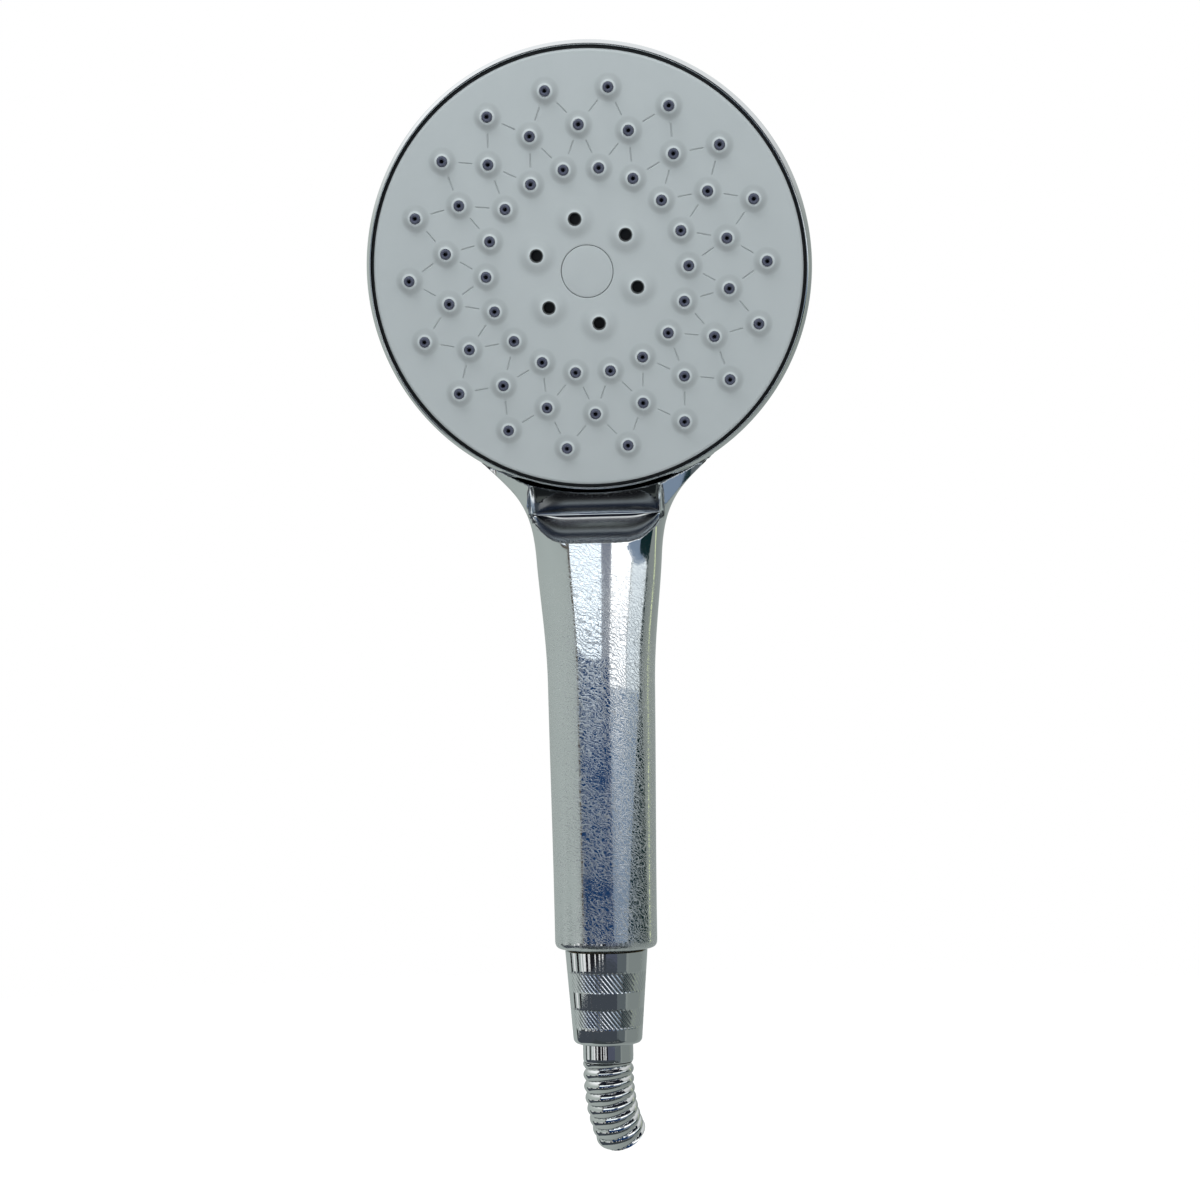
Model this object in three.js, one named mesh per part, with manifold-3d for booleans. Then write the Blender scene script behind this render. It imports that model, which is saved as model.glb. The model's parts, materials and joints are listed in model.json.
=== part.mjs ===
// Handheld shower head: a round spray head on a tapered handle, with the conical
// hose nut and the end of the metal hose that hangs from it.
//
// Millimetres, +Z up along the handle. The origin is on the handle's axis, halfway up
// the hose nut. The spray face looks towards -Y and leans forward by headTilt.
import * as THREE from 'three';
import { mergeVertices } from 'three/addons/utils/BufferGeometryUtils.js';
import Module from 'manifold-3d';

const wasm = await Module();
wasm.setup();

// ---- driving dimensions ----------------------------------------------------------
const headRadius = 62.5;
const headTilt = THREE.MathUtils.degToRad(17);
const headForward = 32;
const headHeight = 202.2;
const headDepth = 30.5;
const faceRadius = 60;
const faceTop = -2.2;
const gripRadius = 14.6;
const gripBottom = 13.7;
const wall = 2.4;
const gap = 0.3;
const nutHalf = 13;
const nutTopRadius = 11.75;
const nutBottomRadius = 9.7;
const boreRadius = 12;
const hoseRadius = 7.2;
const spiralBore = 5.9;
const linerRadius = 5.1;
const linerBore = 3.7;
const hoseBendRadius = 30;
const hoseBend = THREE.MathUtils.degToRad(38);
const hoseHeading = THREE.MathUtils.degToRad(61);
const hoseBendTop = -21;
const threadRadius = 9.6;
const screwRadius = 1.8;
const capRadius = 7.2;

// Nozzle rings: radius, number and the angle of the first nozzle in degrees. The whole
// pattern stands slightly turned in the plate.
const patternTurn = 1.3;
const jetRing = { radius: 14.7, count: 6, start: 40 + patternTurn };
const rainRings = [
  { radius: 28.3, count: 18, start: patternTurn },
  { radius: 39.8, count: 18, start: 10 + patternTurn },
  { radius: 50, count: 18, start: patternTurn },
];
const rainTipRadius = 1.5;
const rainBore = 0.5;
const jetTipRadius = 2.3;
const jetBore = 1.7;

// Levels along the spray axis, measured from the nozzle tips back into the head.
const plateBottom = faceTop - 2;
const matTop = plateBottom - gap;
const matBottom = matTop - 1.6;
const backingTop = matBottom - gap;
const backingFloor = backingTop - 2.2;
const backingBottom = backingFloor - 1.6;
const housingTop = backingBottom - 1.5;
const housingBottom = -25;
const rimBack = -9;
const shellFront = rimBack - gap;
const trayFloor = -13.6;
const trayRadius = 58.6;
const wellRadius = 33;
const tubeLevel = -18.2;
const tubeRadius = 4.4;
const tubeBore = 3.2;
const tubeEnd = -17.4;
const tubeSetback = 7;
const tubeLean = 60;
const boreTop = 127;
const socketRadius = tubeRadius + gap;
const sealPocketRadius = 6;
const hubRadius = 5.4;
const screwEnd = -20;
const portRadius = 21.4;
const feedPorts = [{ radius: 25, angle: 0 }, { radius: 17.8, angle: -60 }];
const boltCircle = { radius: 29.4, count: 3, start: 90 };

// Levels along the handle's axis, up from the middle of the hose nut.
const insertTop = 44;
const tubeStart = 36;
const insertBottom = 5.1;
const clipLevel = 15.6;
const sealLevels = [28, 34];
const washerBottom = 3;
const flangeTop = 2.7;
const ferruleTop = -4.8;
const ferruleBottom = -18.2;
const hoseTop = -20.5;

// ---- looks -----------------------------------------------------------------------
function look(color, roughness, metalness) {
  return new THREE.MeshStandardMaterial({ color, roughness, metalness });
}

const looks = {
  chrome: look(0xd8dcde, 0.06, 1),
  face: look(0xa9b2b5, 0.5, 0),
  silicone: look(0x5a6174, 0.6, 0),
  innerPlastic: look(0xd9dad4, 0.55, 0),
  blackPlastic: look(0x1d1e20, 0.5, 0),
  rubber: look(0x151516, 0.8, 0),
  brass: look(0xc8a45a, 0.3, 1),
  steel: look(0xa8abad, 0.25, 1),
  liner: look(0xc9ccc8, 0.5, 0),
};

// ---- solids ----------------------------------------------------------------------
function toSolid(geometry) {
  const bare = geometry.clone();
  bare.deleteAttribute('normal');
  bare.deleteAttribute('uv');
  const merged = mergeVertices(bare, 1e-4);
  const mesh = new wasm.Mesh({
    numProp: 3,
    vertProperties: new Float32Array(merged.attributes.position.array),
    triVerts: new Uint32Array(merged.index.array),
  });
  return new wasm.Manifold(mesh);
}

function toGeometry(solid) {
  const mesh = solid.getMesh();
  const geometry = new THREE.BufferGeometry();
  geometry.setAttribute('position', new THREE.BufferAttribute(mesh.vertProperties, 3));
  geometry.setIndex(new THREE.BufferAttribute(mesh.triVerts, 1));
  return geometry;
}

function combine(operation, first, others) {
  let solid = toSolid(first);
  for (const other of others) solid = solid[operation](toSolid(other));
  return toGeometry(solid);
}

function cut(body, ...tools) {
  return combine('subtract', body, tools);
}

function join(body, ...others) {
  return combine('add', body, others);
}

// A turned solid about Z from a closed outline of [radius, height] points that runs
// anticlockwise: up the outside and down the inside.
function turned(outline, sides = 32) {
  const points = outline.map(([radius, height]) => new THREE.Vector2(radius, height));
  if (outline[0][0] > 0) points.push(points[0].clone());
  return new THREE.LatheGeometry(points, sides).rotateX(Math.PI / 2);
}

function disc(radius, bottom, top, sides = 28) {
  return turned([[0, bottom], [radius, bottom], [radius, top], [0, top]], sides);
}

function ring(inner, outer, bottom, top, sides = 28) {
  return turned([[inner, bottom], [outer, bottom], [outer, top], [inner, top]], sides);
}

// An O-ring about Z: a round cord of the given radius bent into a circle.
function oRing(middleRadius, cordRadius, level, sides = 18) {
  const cordSides = 6;
  const outline = [];
  for (let i = 0; i < cordSides; i += 1) {
    const angle = (2 * Math.PI * i) / cordSides;
    outline.push([middleRadius + cordRadius * Math.cos(angle), level + cordRadius * Math.sin(angle)]);
  }
  return turned(outline, sides);
}

function moved(geometry, x, y, z = 0) {
  return geometry.translate(x, y, z);
}

function around({ radius, count, start }, make) {
  const pieces = [];
  for (let i = 0; i < count; i += 1) {
    const angle = THREE.MathUtils.degToRad(start + (360 / count) * i);
    pieces.push(make(radius * Math.cos(angle), radius * Math.sin(angle), angle));
  }
  return pieces;
}

// A round tube along a curve; the bore makes it a pipe.
function pipe(curve, outer, bore, sides, steps) {
  const section = new THREE.Shape();
  section.absarc(0, 0, outer, 0, 2 * Math.PI);
  if (bore > 0) section.holes.push(new THREE.Path().absarc(0, 0, bore, 0, 2 * Math.PI, true));
  return new THREE.ExtrudeGeometry(section, {
    steps,
    curveSegments: sides / 2,
    bevelEnabled: false,
    extrudePath: curve,
  });
}

// ---- frames ----------------------------------------------------------------------
// The spray head's own frame: +X right, +Y up the face, +Z out of the face.
const head = new THREE.Group();
head.position.set(0, -headForward, headHeight);
head.rotation.x = Math.PI / 2 + headTilt;
head.updateMatrix();

const group = new THREE.Group();
group.add(head);

function place(name, geometry, material, parent = group) {
  const mesh = new THREE.Mesh(geometry, material);
  mesh.name = name;
  parent.add(mesh);
}

function inHead(geometry) {
  return geometry.applyMatrix4(head.matrix);
}

// ---- body: handle and head shell in one moulding -----------------------------------
// Back of the head: a shallow dome from the rim to its deepest point on the spray axis.
function domeLevel(radius) {
  const rimLevel = -8;
  const share = Math.min(radius / headRadius, 1);
  return rimLevel - (headDepth + rimLevel) * Math.sqrt(1 - share ** 2.6);
}

function domeOutline(inset, outerRadius) {
  const outline = [[0, domeLevel(0) + inset]];
  const steps = 9;
  for (let i = 1; i < steps; i += 1) {
    const radius = headRadius * Math.sin((Math.PI / 2) * (i / steps));
    if (radius < outerRadius) outline.push([radius, domeLevel(radius) + inset]);
  }
  return outline;
}

function headSolid() {
  const edge = headRadius - 0.2;
  const outline = domeOutline(0, edge - 0.5);
  outline.push([edge, shellFront - 0.6], [edge, shellFront], [0, shellFront]);
  return inHead(turned(outline, 40));
}

// The handle is a turned shape whose sections are pressed oval above neckHeight:
// the profile gives half the width at each height, gripDepth the depth.
const neckHeight = 118;
const neckTop = 192;
const gripProfile = new THREE.SplineCurve([
  new THREE.Vector2(gripRadius, 22),
  new THREE.Vector2(15.1, 55),
  new THREE.Vector2(15.6, 88),
  new THREE.Vector2(17.1, 113),
  new THREE.Vector2(18.2, 128),
  new THREE.Vector2(20, 137.5),
  new THREE.Vector2(24.3, 145.6),
  new THREE.Vector2(33.4, 154.4),
  new THREE.Vector2(36, 161),
  new THREE.Vector2(33, 171),
  new THREE.Vector2(24, 182),
  new THREE.Vector2(8, neckTop),
]);

function gripDepth(height, isFront) {
  const rise = (height - neckHeight) / (neckTop - neckHeight);
  return isFront ? 17.4 + 12 * rise ** 1.2 : 17.4 - 17 * rise ** 1.7;
}

function handleSolid() {
  const profile = [
    [0, gripBottom],
    [gripRadius - 1, gripBottom],
    [gripRadius - 0.3, gripBottom + 0.3],
    [gripRadius, gripBottom + 1],
  ];
  for (const point of gripProfile.getPoints(16)) profile.push([point.x, point.y]);
  profile.push([0, neckTop]);
  const solid = turned(profile, 24);
  const position = solid.attributes.position;
  for (let i = 0; i < position.count; i += 1) {
    const height = position.getZ(i);
    const width = Math.hypot(position.getX(i), position.getY(i));
    if (height < neckHeight || width < 1) continue;
    const depth = gripDepth(height, position.getY(i) < 0);
    position.setY(i, (position.getY(i) / width) * depth);
  }
  return solid;
}

// The thumb scoop: a hollow arc across the front of the neck, closed above by the
// sloping wall under the rim of the head.
function scoopTool() {
  const lipHeight = 128.6;
  const arcRadius = 12.5;
  const arcDepth = -17;
  const arcEnd = THREE.MathUtils.degToRad(-14);
  const reach = -45;
  const ceiling = 152;
  const width = 60;
  const outline = new THREE.Shape();
  outline.moveTo(reach, lipHeight);
  outline.lineTo(arcDepth, lipHeight);
  outline.absarc(arcDepth, lipHeight + arcRadius, arcRadius, -Math.PI / 2, arcEnd, false);
  outline.lineTo(-9.2, 144);
  outline.lineTo(-14, ceiling);
  outline.lineTo(reach, ceiling);
  const options = { depth: width, curveSegments: 10, bevelEnabled: false };
  const solid = new THREE.ExtrudeGeometry(outline, options);
  // The outline is drawn in the Y-Z plane and swept along X.
  const toSide = new THREE.Matrix4().makeBasis(
    new THREE.Vector3(0, 1, 0),
    new THREE.Vector3(0, 0, 1),
    new THREE.Vector3(1, 0, 0),
  );
  return solid.applyMatrix4(toSide).translate(-width / 2, 0, 0);
}

// A cylinder along the head's own Y axis, at the level of the water tube.
function alongTube(radius, from, to, sides = 20) {
  return disc(radius, -to, -from, sides).rotateX(Math.PI / 2).translate(0, 0, tubeLevel);
}

function bodyShell() {
  const faceClearance = inHead(disc(headRadius + 12, shellFront, 40, 40));
  const tray = inHead(disc(trayRadius, trayFloor, 20, 36));
  const hollowRadius = 52.6;
  const hollowOutline = domeOutline(wall, hollowRadius);
  hollowOutline.push([hollowRadius, domeLevel(hollowRadius) + wall], [hollowRadius, 0], [0, 0]);
  const headHollow = inHead(turned(hollowOutline, 36));
  const gripBore = turned([
    [0, 0],
    [boreRadius, 0],
    [boreRadius, boreTop - 2],
    [boreRadius - 2, boreTop],
    [0, boreTop],
  ], 20);
  const runRadius = tubeRadius + 2.1;
  const neckRun = moved(disc(runRadius, boreTop - 8, boreTop + 14, 12), 0, tubeSetback);
  const tubeRun = inHead(alongTube(runRadius, -77, -25, 12));
  const clipGroove = disc(13.2, clipLevel - gap, clipLevel + 0.9 + gap, 20);
  const outer = cut(join(headSolid(), handleSolid()), faceClearance, scoopTool());
  const hollow = cut(outer, tray, headHollow, gripBore, neckRun, tubeRun, clipGroove);
  const bossBottom = domeLevel(boltCircle.radius) + 1;
  const boss = (x, y) => inHead(moved(ring(1.5, 3, bossBottom, housingTop - 3, 8), x, y));
  return join(hollow, ...around(boltCircle, boss));
}

// ---- spray face: everything that turns together ------------------------------------
function trimRing() {
  const inner = faceRadius + gap;
  return turned([
    [inner, rimBack],
    [headRadius, rimBack],
    [headRadius, -7],
    [headRadius - 0.25, -5],
    [headRadius - 0.8, -3.4],
    [headRadius - 1.3, -2.9],
    [inner, -3.2],
  ], 44);
}

function sprayFace() {
  const plate = turned([
    [0, plateBottom],
    [faceRadius - 0.4, plateBottom],
    [faceRadius, plateBottom + 0.4],
    [faceRadius, faceTop - 0.9],
    [30, faceTop],
    [0, faceTop],
  ], 44);
  const through = (radius) => (x, y) => moved(disc(radius, plateBottom - 1, faceTop + 1, 6), x, y);
  const holes = rainRings.flatMap((row) => around(row, through(rainTipRadius + gap)));
  const jetHoles = around(jetRing, through(jetTipRadius + gap));
  const capSeat = disc(capRadius + gap, faceTop - 1.3, faceTop + 1, 24);
  const hubBore = disc(hubRadius, plateBottom - 1, faceTop + 1, 20);
  return cut(plate, ...holes, ...jetHoles, capSeat, hubBore);
}

function nozzleMat() {
  const mat = ring(20.4, 57.6, matBottom, matTop);
  const tip = (x, y) => moved(disc(rainTipRadius, matTop - 0.5, -0.6, 6), x, y);
  const bore = (x, y) => moved(disc(rainBore, matBottom - 1, 1, 4), x, y);
  const tips = rainRings.flatMap((row) => around(row, tip));
  const bores = rainRings.flatMap((row) => around(row, bore));
  return cut(join(mat, ...tips), ...bores);
}

function jetInsert() {
  const base = ring(hubRadius + gap, 20, matBottom, matTop, 28);
  const tip = (x, y) => moved(disc(jetTipRadius, matTop - 0.5, -0.9, 6), x, y);
  const bore = (x, y) => moved(disc(jetBore, matBottom - 1, 1, 6), x, y);
  return cut(join(base, ...around(jetRing, tip)), ...around(jetRing, bore));
}

function faceCap() {
  const bottom = faceTop - 1;
  return turned([
    [0, bottom],
    [capRadius, bottom],
    [capRadius, faceTop - 0.1],
    [capRadius - 0.2, faceTop + 0.1],
    [0, faceTop + 0.1],
  ], 24);
}

// The backing plate closes the water chambers behind the mat: an outer wall, a wall
// between the rain and the jet chambers, a hub, and a feed port to each chamber.
function backingPlate() {
  const outline = [
    [3.4, backingBottom],
    [57.6, backingBottom],
    [57.6, backingTop],
    [55.6, backingTop],
    [55.6, backingFloor],
    [22.4, backingFloor],
    [22.4, backingTop],
    [20.6, backingTop],
    [20.6, backingFloor],
    [hubRadius, backingFloor],
    [hubRadius, backingTop + 0.2],
    [3.4, backingTop + 0.2],
  ];
  const port = ({ radius, angle }) => {
    const turn = THREE.MathUtils.degToRad(angle);
    const drill = disc(1.9, backingBottom - 1, backingFloor + 1, 12);
    return moved(drill, radius * Math.cos(turn), radius * Math.sin(turn));
  };
  return cut(turned(outline), ...feedPorts.map(port));
}

function faceScrew() {
  const headTop = faceTop - 1.4;
  const headBottom = headTop - 1.6;
  return turned([
    [0, screwEnd],
    [screwRadius, screwEnd],
    [screwRadius, headBottom],
    [4.4, headBottom],
    [4.4, headTop - 0.5],
    [3.9, headTop],
    [1.4, headTop],
    [1.4, headTop - 1],
    [0, headTop - 1],
  ], 16);
}

function faceWasher() {
  return ring(screwRadius + gap, 5, backingTop + 0.5, faceTop - 3.3, 16);
}

function faceBush() {
  return ring(screwRadius + gap, 3.1, housingTop + gap, backingTop + 0.2, 14);
}

// ---- fixed water parts in the head -------------------------------------------------
// A closed cup that the tube feeds from below. One oblong port in its top lines up
// with either feed port of the backing plate as the face turns.
function portHousing() {
  const lidBottom = housingTop - 2.5;
  const top = housingTop;
  const outline = [
    [0, housingBottom],
    [23.5, housingBottom],
    [25.4, housingBottom + 2],
    [25.4, top - 2.6],
    [wellRadius - 0.8, top - 2.6],
    [wellRadius - 0.8, top],
    [0, top],
  ];
  const chamber = ring(4.6, 22, housingBottom + 2.2, lidBottom, 24);
  const screwHole = disc(screwRadius + gap, screwEnd - gap, 1, 16);
  const socket = alongTube(socketRadius, -40, tubeEnd + gap);
  const sealPocket = alongTube(sealPocketRadius, -40, -22.8);
  const port = new THREE.BoxGeometry(12, 4, 8).translate(portRadius, 0, top);
  const sealSeat = new THREE.BoxGeometry(17, 9.2, 1.6).translate(portRadius, 0, top);
  const detentSeat = new THREE.BoxGeometry(16, 6, 2).translate(-20.5, 0, top);
  const screwHoles = around(boltCircle, (x, y) => moved(disc(1.5, top - 4, top + 1, 12), x, y));
  const solid = cut(turned(outline, 32), chamber, screwHole, socket, sealPocket);
  return cut(solid, port, sealSeat, detentSeat, ...screwHoles);
}

function portSeal() {
  const outline = roundedBox(16.2, 8.4, 3);
  outline.holes.push(roundedBox(12.4, 4.6, 2));
  const thickness = 1.7;
  const options = { depth: thickness, curveSegments: 5, bevelEnabled: false };
  const seal = new THREE.ExtrudeGeometry(outline, options);
  return seal.translate(portRadius, 0, backingBottom - gap - thickness);
}

function roundedBox(length, width, corner) {
  const [x, y] = [length / 2, width / 2];
  const shape = new THREE.Shape();
  shape.absarc(x - corner, y - corner, corner, 0, Math.PI / 2);
  shape.absarc(corner - x, y - corner, corner, Math.PI / 2, Math.PI);
  shape.absarc(corner - x, corner - y, corner, Math.PI, 1.5 * Math.PI);
  shape.absarc(x - corner, corner - y, corner, 1.5 * Math.PI, 2 * Math.PI);
  return shape;
}

// A leaf spring whose crown drops into notches under the backing plate.
function detentSpring() {
  const [halfLength, rise, thickness, width] = [7, 1.1, 0.3, 5];
  const arch = (x) => rise * Math.cos((Math.PI / 2) * (x / halfLength)) ** 2;
  const steps = 8;
  const outline = new THREE.Shape();
  outline.moveTo(-halfLength, 0);
  for (let i = 1; i <= steps; i += 1) {
    const x = -halfLength + (2 * halfLength * i) / steps;
    outline.lineTo(x, arch(x));
  }
  for (let i = steps; i >= 0; i -= 1) {
    const x = -halfLength + (2 * halfLength * i) / steps;
    outline.lineTo(x, arch(x) + thickness);
  }
  const leaf = new THREE.ExtrudeGeometry(outline, { depth: width, bevelEnabled: false });
  return leaf.rotateX(Math.PI / 2).translate(-20.5, width / 2, housingTop - 0.6);
}

// A low-friction ring that the rim of the backing plate runs on, open at the bottom
// where the water tube passes into the head.
function glideRing() {
  const tubeOpening = new THREE.BoxGeometry(13, 20, 20).translate(0, -54, trayFloor);
  return cut(ring(54, 57.6, trayFloor + gap, backingBottom - gap, 32), tubeOpening);
}

function housingScrew() {
  const bottom = housingTop + gap;
  return turned([
    [0, bottom - 8],
    [1.2, bottom - 8],
    [1.2, bottom],
    [2.6, bottom],
    [2.6, bottom + 0.5],
    [2, bottom + 0.9],
    [0, bottom + 0.9],
  ], 14);
}

// ---- water way in the handle -------------------------------------------------------
// The tube leaves the insert on the handle's axis, leans back to pass behind the
// scoop, and bends once more to lie along the face.
function tubeCurve() {
  const end = new THREE.Vector3(0, tubeEnd, tubeLevel).applyMatrix4(head.matrix);
  const along = new THREE.Vector3(0, 1, 0).transformDirection(head.matrix);
  const bend = end.clone().addScaledVector(along, -(tubeSetback - end.y) / -along.y);
  const start = new THREE.Vector3(0, 0, tubeStart);
  const lean = new THREE.Vector3(0, 0, tubeLean);
  const path = new THREE.CurvePath();
  path.add(new THREE.LineCurve3(start, towards(lean, start, 8)));
  path.add(new THREE.QuadraticBezierCurve3(towards(lean, start, 8), lean, towards(lean, bend, 8)));
  path.add(new THREE.LineCurve3(towards(lean, bend, 8), towards(bend, lean, 9)));
  path.add(new THREE.QuadraticBezierCurve3(towards(bend, lean, 9), bend, towards(bend, end, 9)));
  path.add(new THREE.LineCurve3(towards(bend, end, 9), end));
  return new THREE.CatmullRomCurve3(path.getSpacedPoints(20), false, 'centripetal');
}

function towards(from, to, distance) {
  return from.clone().add(to.clone().sub(from).setLength(distance));
}

function inletInsert() {
  const groove = 10.3;
  const outline = [
    [7.4, insertBottom],
    [threadRadius, insertBottom],
    [threadRadius, 13.4],
    [11.7, 14.4],
    [11.7, clipLevel - gap],
    [10.4, clipLevel - gap],
    [10.4, clipLevel + 1.2],
    [11.7, clipLevel + 1.2],
  ];
  for (const level of sealLevels) {
    outline.push([11.7, level - 1], [groove, level - 1], [groove, level + 1], [11.7, level + 1]);
  }
  outline.push(
    [11.7, insertTop - 1],
    [11.2, insertTop],
    [sealPocketRadius, insertTop],
    [sealPocketRadius, insertTop - 3],
    [socketRadius, insertTop - 3],
    [socketRadius, tubeStart - gap],
    [3.4, tubeStart - gap],
    [3.4, 12],
    [7.4, 10],
  );
  return turned(outline, 22);
}

function retainingClip() {
  const clip = ring(10.9, 12.7, clipLevel, clipLevel + 0.9, 32);
  return cut(clip, new THREE.BoxGeometry(5, 8, 6).translate(0, 12, clipLevel));
}

function flowRegulator() {
  const [bottom, floor, top] = [5.6, 7.2, 9.2];
  const body = turned([
    [0, bottom],
    [7, bottom],
    [7, top],
    [5.9, top],
    [5.9, floor],
    [1.6, floor],
    [1.6, top],
    [0, top],
  ], 20);
  const slots = around({ radius: 4.4, count: 6, start: 0 }, (x, y) => moved(disc(0.8, 5, 8, 6), x, y));
  return cut(body, ...slots);
}

function strainer() {
  const dome = turned([[0, 3.9], [3, 3.6], [5.3, 3.1], [5.3, 3.5], [3, 4], [0, 4.3]], 16);
  const hole = (x, y) => moved(disc(0.5, 2, 6, 5), x, y);
  const innerHoles = around({ radius: 1.6, count: 4, start: 0 }, hole);
  const outerHoles = around({ radius: 3.5, count: 10, start: 0 }, hole);
  return cut(dome, ...innerHoles, ...outerHoles);
}

function tubeRing(level) {
  return oRing(5.3, 0.5, level);
}

function upperTubeRing() {
  return tubeRing(25.2).rotateX(Math.PI / 2).translate(0, 0, tubeLevel);
}

// ---- hose end ----------------------------------------------------------------------
function hoseNut() {
  return turned([
    [7.5, -nutHalf],
    [nutBottomRadius - 0.6, -nutHalf],
    [nutBottomRadius, -nutHalf + 0.8],
    [nutTopRadius, nutHalf - 0.4],
    [nutTopRadius - 0.4, nutHalf],
    [threadRadius + 0.35, nutHalf],
    [threadRadius + 0.35, washerBottom - 0.2],
    [9.2, washerBottom - 0.2],
    [9.2, -1.8],
    [7.5, -1.8],
  ], 36);
}

function hoseTail() {
  return turned([
    [2.5, -17],
    [3, -17],
    [3.3, -16.4],
    [3.3, -4.5],
    [7.1, -4.5],
    [7.1, -2.1],
    [5, -2.1],
    [5, 0.9],
    [8.9, 0.9],
    [8.9, flangeTop],
    [4.6, flangeTop],
    [2.5, 0],
  ], 24);
}

function hoseFerrule() {
  return turned([
    [5.7, ferruleBottom],
    [6.9, ferruleBottom],
    [7.15, ferruleBottom + 0.3],
    [7.15, ferruleTop],
    [5.7, ferruleTop],
  ], 28);
}

// The hose's middle line: straight down from the given height to hoseBendTop, then an
// arc that turns out towards hoseHeading.
class HoseCurve extends THREE.Curve {
  constructor(top) {
    super();
    this.top = top;
  }

  getPoint(share, target = new THREE.Vector3()) {
    const straight = this.top - hoseBendTop;
    const distance = share * (straight + hoseBendRadius * hoseBend);
    if (distance <= straight) return target.set(0, 0, this.top - distance);
    const turn = (distance - straight) / hoseBendRadius;
    const out = hoseBendRadius * (1 - Math.cos(turn));
    return target.set(
      out * Math.cos(hoseHeading),
      out * Math.sin(hoseHeading),
      hoseBendTop - hoseBendRadius * Math.sin(turn),
    );
  }
}

// ---- assembly ----------------------------------------------------------------------
place('body_shell', bodyShell(), looks.chrome);
place('trim_ring', trimRing(), looks.chrome, head);
place('spray_face', sprayFace(), looks.face, head);
place('nozzle_mat', nozzleMat(), looks.silicone, head);
place('jet_insert', jetInsert(), looks.face, head);
place('face_cap', faceCap(), looks.face, head);
place('backing_plate', backingPlate(), looks.innerPlastic, head);
place('face_screw', faceScrew(), looks.steel, head);
place('face_washer', faceWasher(), looks.steel, head);
place('face_bush', faceBush(), looks.blackPlastic, head);
place('port_housing', portHousing(), looks.blackPlastic, head);
place('port_seal', portSeal(), looks.rubber, head);
place('detent_spring', detentSpring(), looks.steel, head);
place('glide_ring', glideRing(), looks.blackPlastic, head);
around(boltCircle, (x, y) => [x, y]).forEach(([x, y], index) => {
  place(`housing_screw_${index + 1}`, moved(housingScrew(), x, y), looks.steel, head);
});
place('waterway_tube', pipe(tubeCurve(), tubeRadius, tubeBore, 10, 18), looks.innerPlastic);
place('tube_o_ring_top', upperTubeRing(), looks.rubber, head);
place('tube_o_ring_bottom', tubeRing(insertTop - 1.6), looks.rubber);
place('inlet_insert', inletInsert(), looks.brass);
sealLevels.forEach((level, index) => {
  place(`inlet_o_ring_${index + 1}`, oRing(11.15, 0.55, level), looks.rubber);
});
place('retaining_clip', retainingClip(), looks.steel);
place('flow_regulator', flowRegulator(), looks.blackPlastic);
place('regulator_o_ring', oRing(3.75, 0.8, 8.5), looks.rubber);
place('strainer', strainer(), looks.steel);
place('hose_washer', ring(5.7, 9.5, washerBottom, insertBottom - gap, 24), looks.rubber);
place('hose_nut', hoseNut(), looks.chrome);
place('swivel_bush', ring(5.3, 8.9, -1.5, 0.6, 20), looks.blackPlastic);
place('hose_tail', hoseTail(), looks.brass);
place('hose_ferrule', hoseFerrule(), looks.chrome);
place('hose_end_bush', ring(5.6, 6.5, hoseTop + gap, ferruleBottom - gap, 20), looks.blackPlastic);
place('hose_liner', pipe(new HoseCurve(ferruleTop), linerRadius, linerBore, 12, 12), looks.liner);
place('hose_spiral', pipe(new HoseCurve(hoseTop), hoseRadius, spiralBore, 20, 8), looks.chrome);

export default group;
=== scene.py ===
import json
import math

import bmesh
import bpy
import numpy as np
from mathutils import Matrix, Vector
from mathutils.geometry import delaunay_2d_cdt


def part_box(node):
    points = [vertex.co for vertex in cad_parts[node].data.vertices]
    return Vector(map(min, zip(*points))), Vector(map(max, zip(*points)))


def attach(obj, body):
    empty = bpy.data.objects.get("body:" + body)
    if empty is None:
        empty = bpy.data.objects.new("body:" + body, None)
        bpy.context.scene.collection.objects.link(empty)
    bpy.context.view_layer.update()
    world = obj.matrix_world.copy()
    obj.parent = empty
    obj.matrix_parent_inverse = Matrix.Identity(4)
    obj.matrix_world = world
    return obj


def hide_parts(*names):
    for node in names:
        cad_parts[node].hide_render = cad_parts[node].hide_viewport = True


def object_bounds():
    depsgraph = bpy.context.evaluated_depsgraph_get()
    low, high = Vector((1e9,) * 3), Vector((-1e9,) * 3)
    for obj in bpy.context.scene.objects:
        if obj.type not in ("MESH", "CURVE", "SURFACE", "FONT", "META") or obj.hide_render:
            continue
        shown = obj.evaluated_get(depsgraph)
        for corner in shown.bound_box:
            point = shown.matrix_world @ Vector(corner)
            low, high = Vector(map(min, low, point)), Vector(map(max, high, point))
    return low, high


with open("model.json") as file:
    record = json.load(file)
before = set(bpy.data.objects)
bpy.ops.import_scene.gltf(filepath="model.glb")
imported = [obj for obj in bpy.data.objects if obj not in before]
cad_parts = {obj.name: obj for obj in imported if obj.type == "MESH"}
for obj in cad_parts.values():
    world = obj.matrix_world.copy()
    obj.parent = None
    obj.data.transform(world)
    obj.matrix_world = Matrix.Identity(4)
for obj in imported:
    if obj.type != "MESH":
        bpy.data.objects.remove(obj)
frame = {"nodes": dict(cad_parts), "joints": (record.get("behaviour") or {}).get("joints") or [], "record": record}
cad_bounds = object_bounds()
bpy.context.scene.view_settings.view_transform = "Standard"

# Everything below is worked out in millimetres and stored in metres.
MM = 0.001


def node_box(name):
    low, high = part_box(name)
    return np.array(low) / MM, np.array(high) / MM


def joint(name):
    return next(j for j in frame["joints"] if j["name"] == name)


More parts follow.
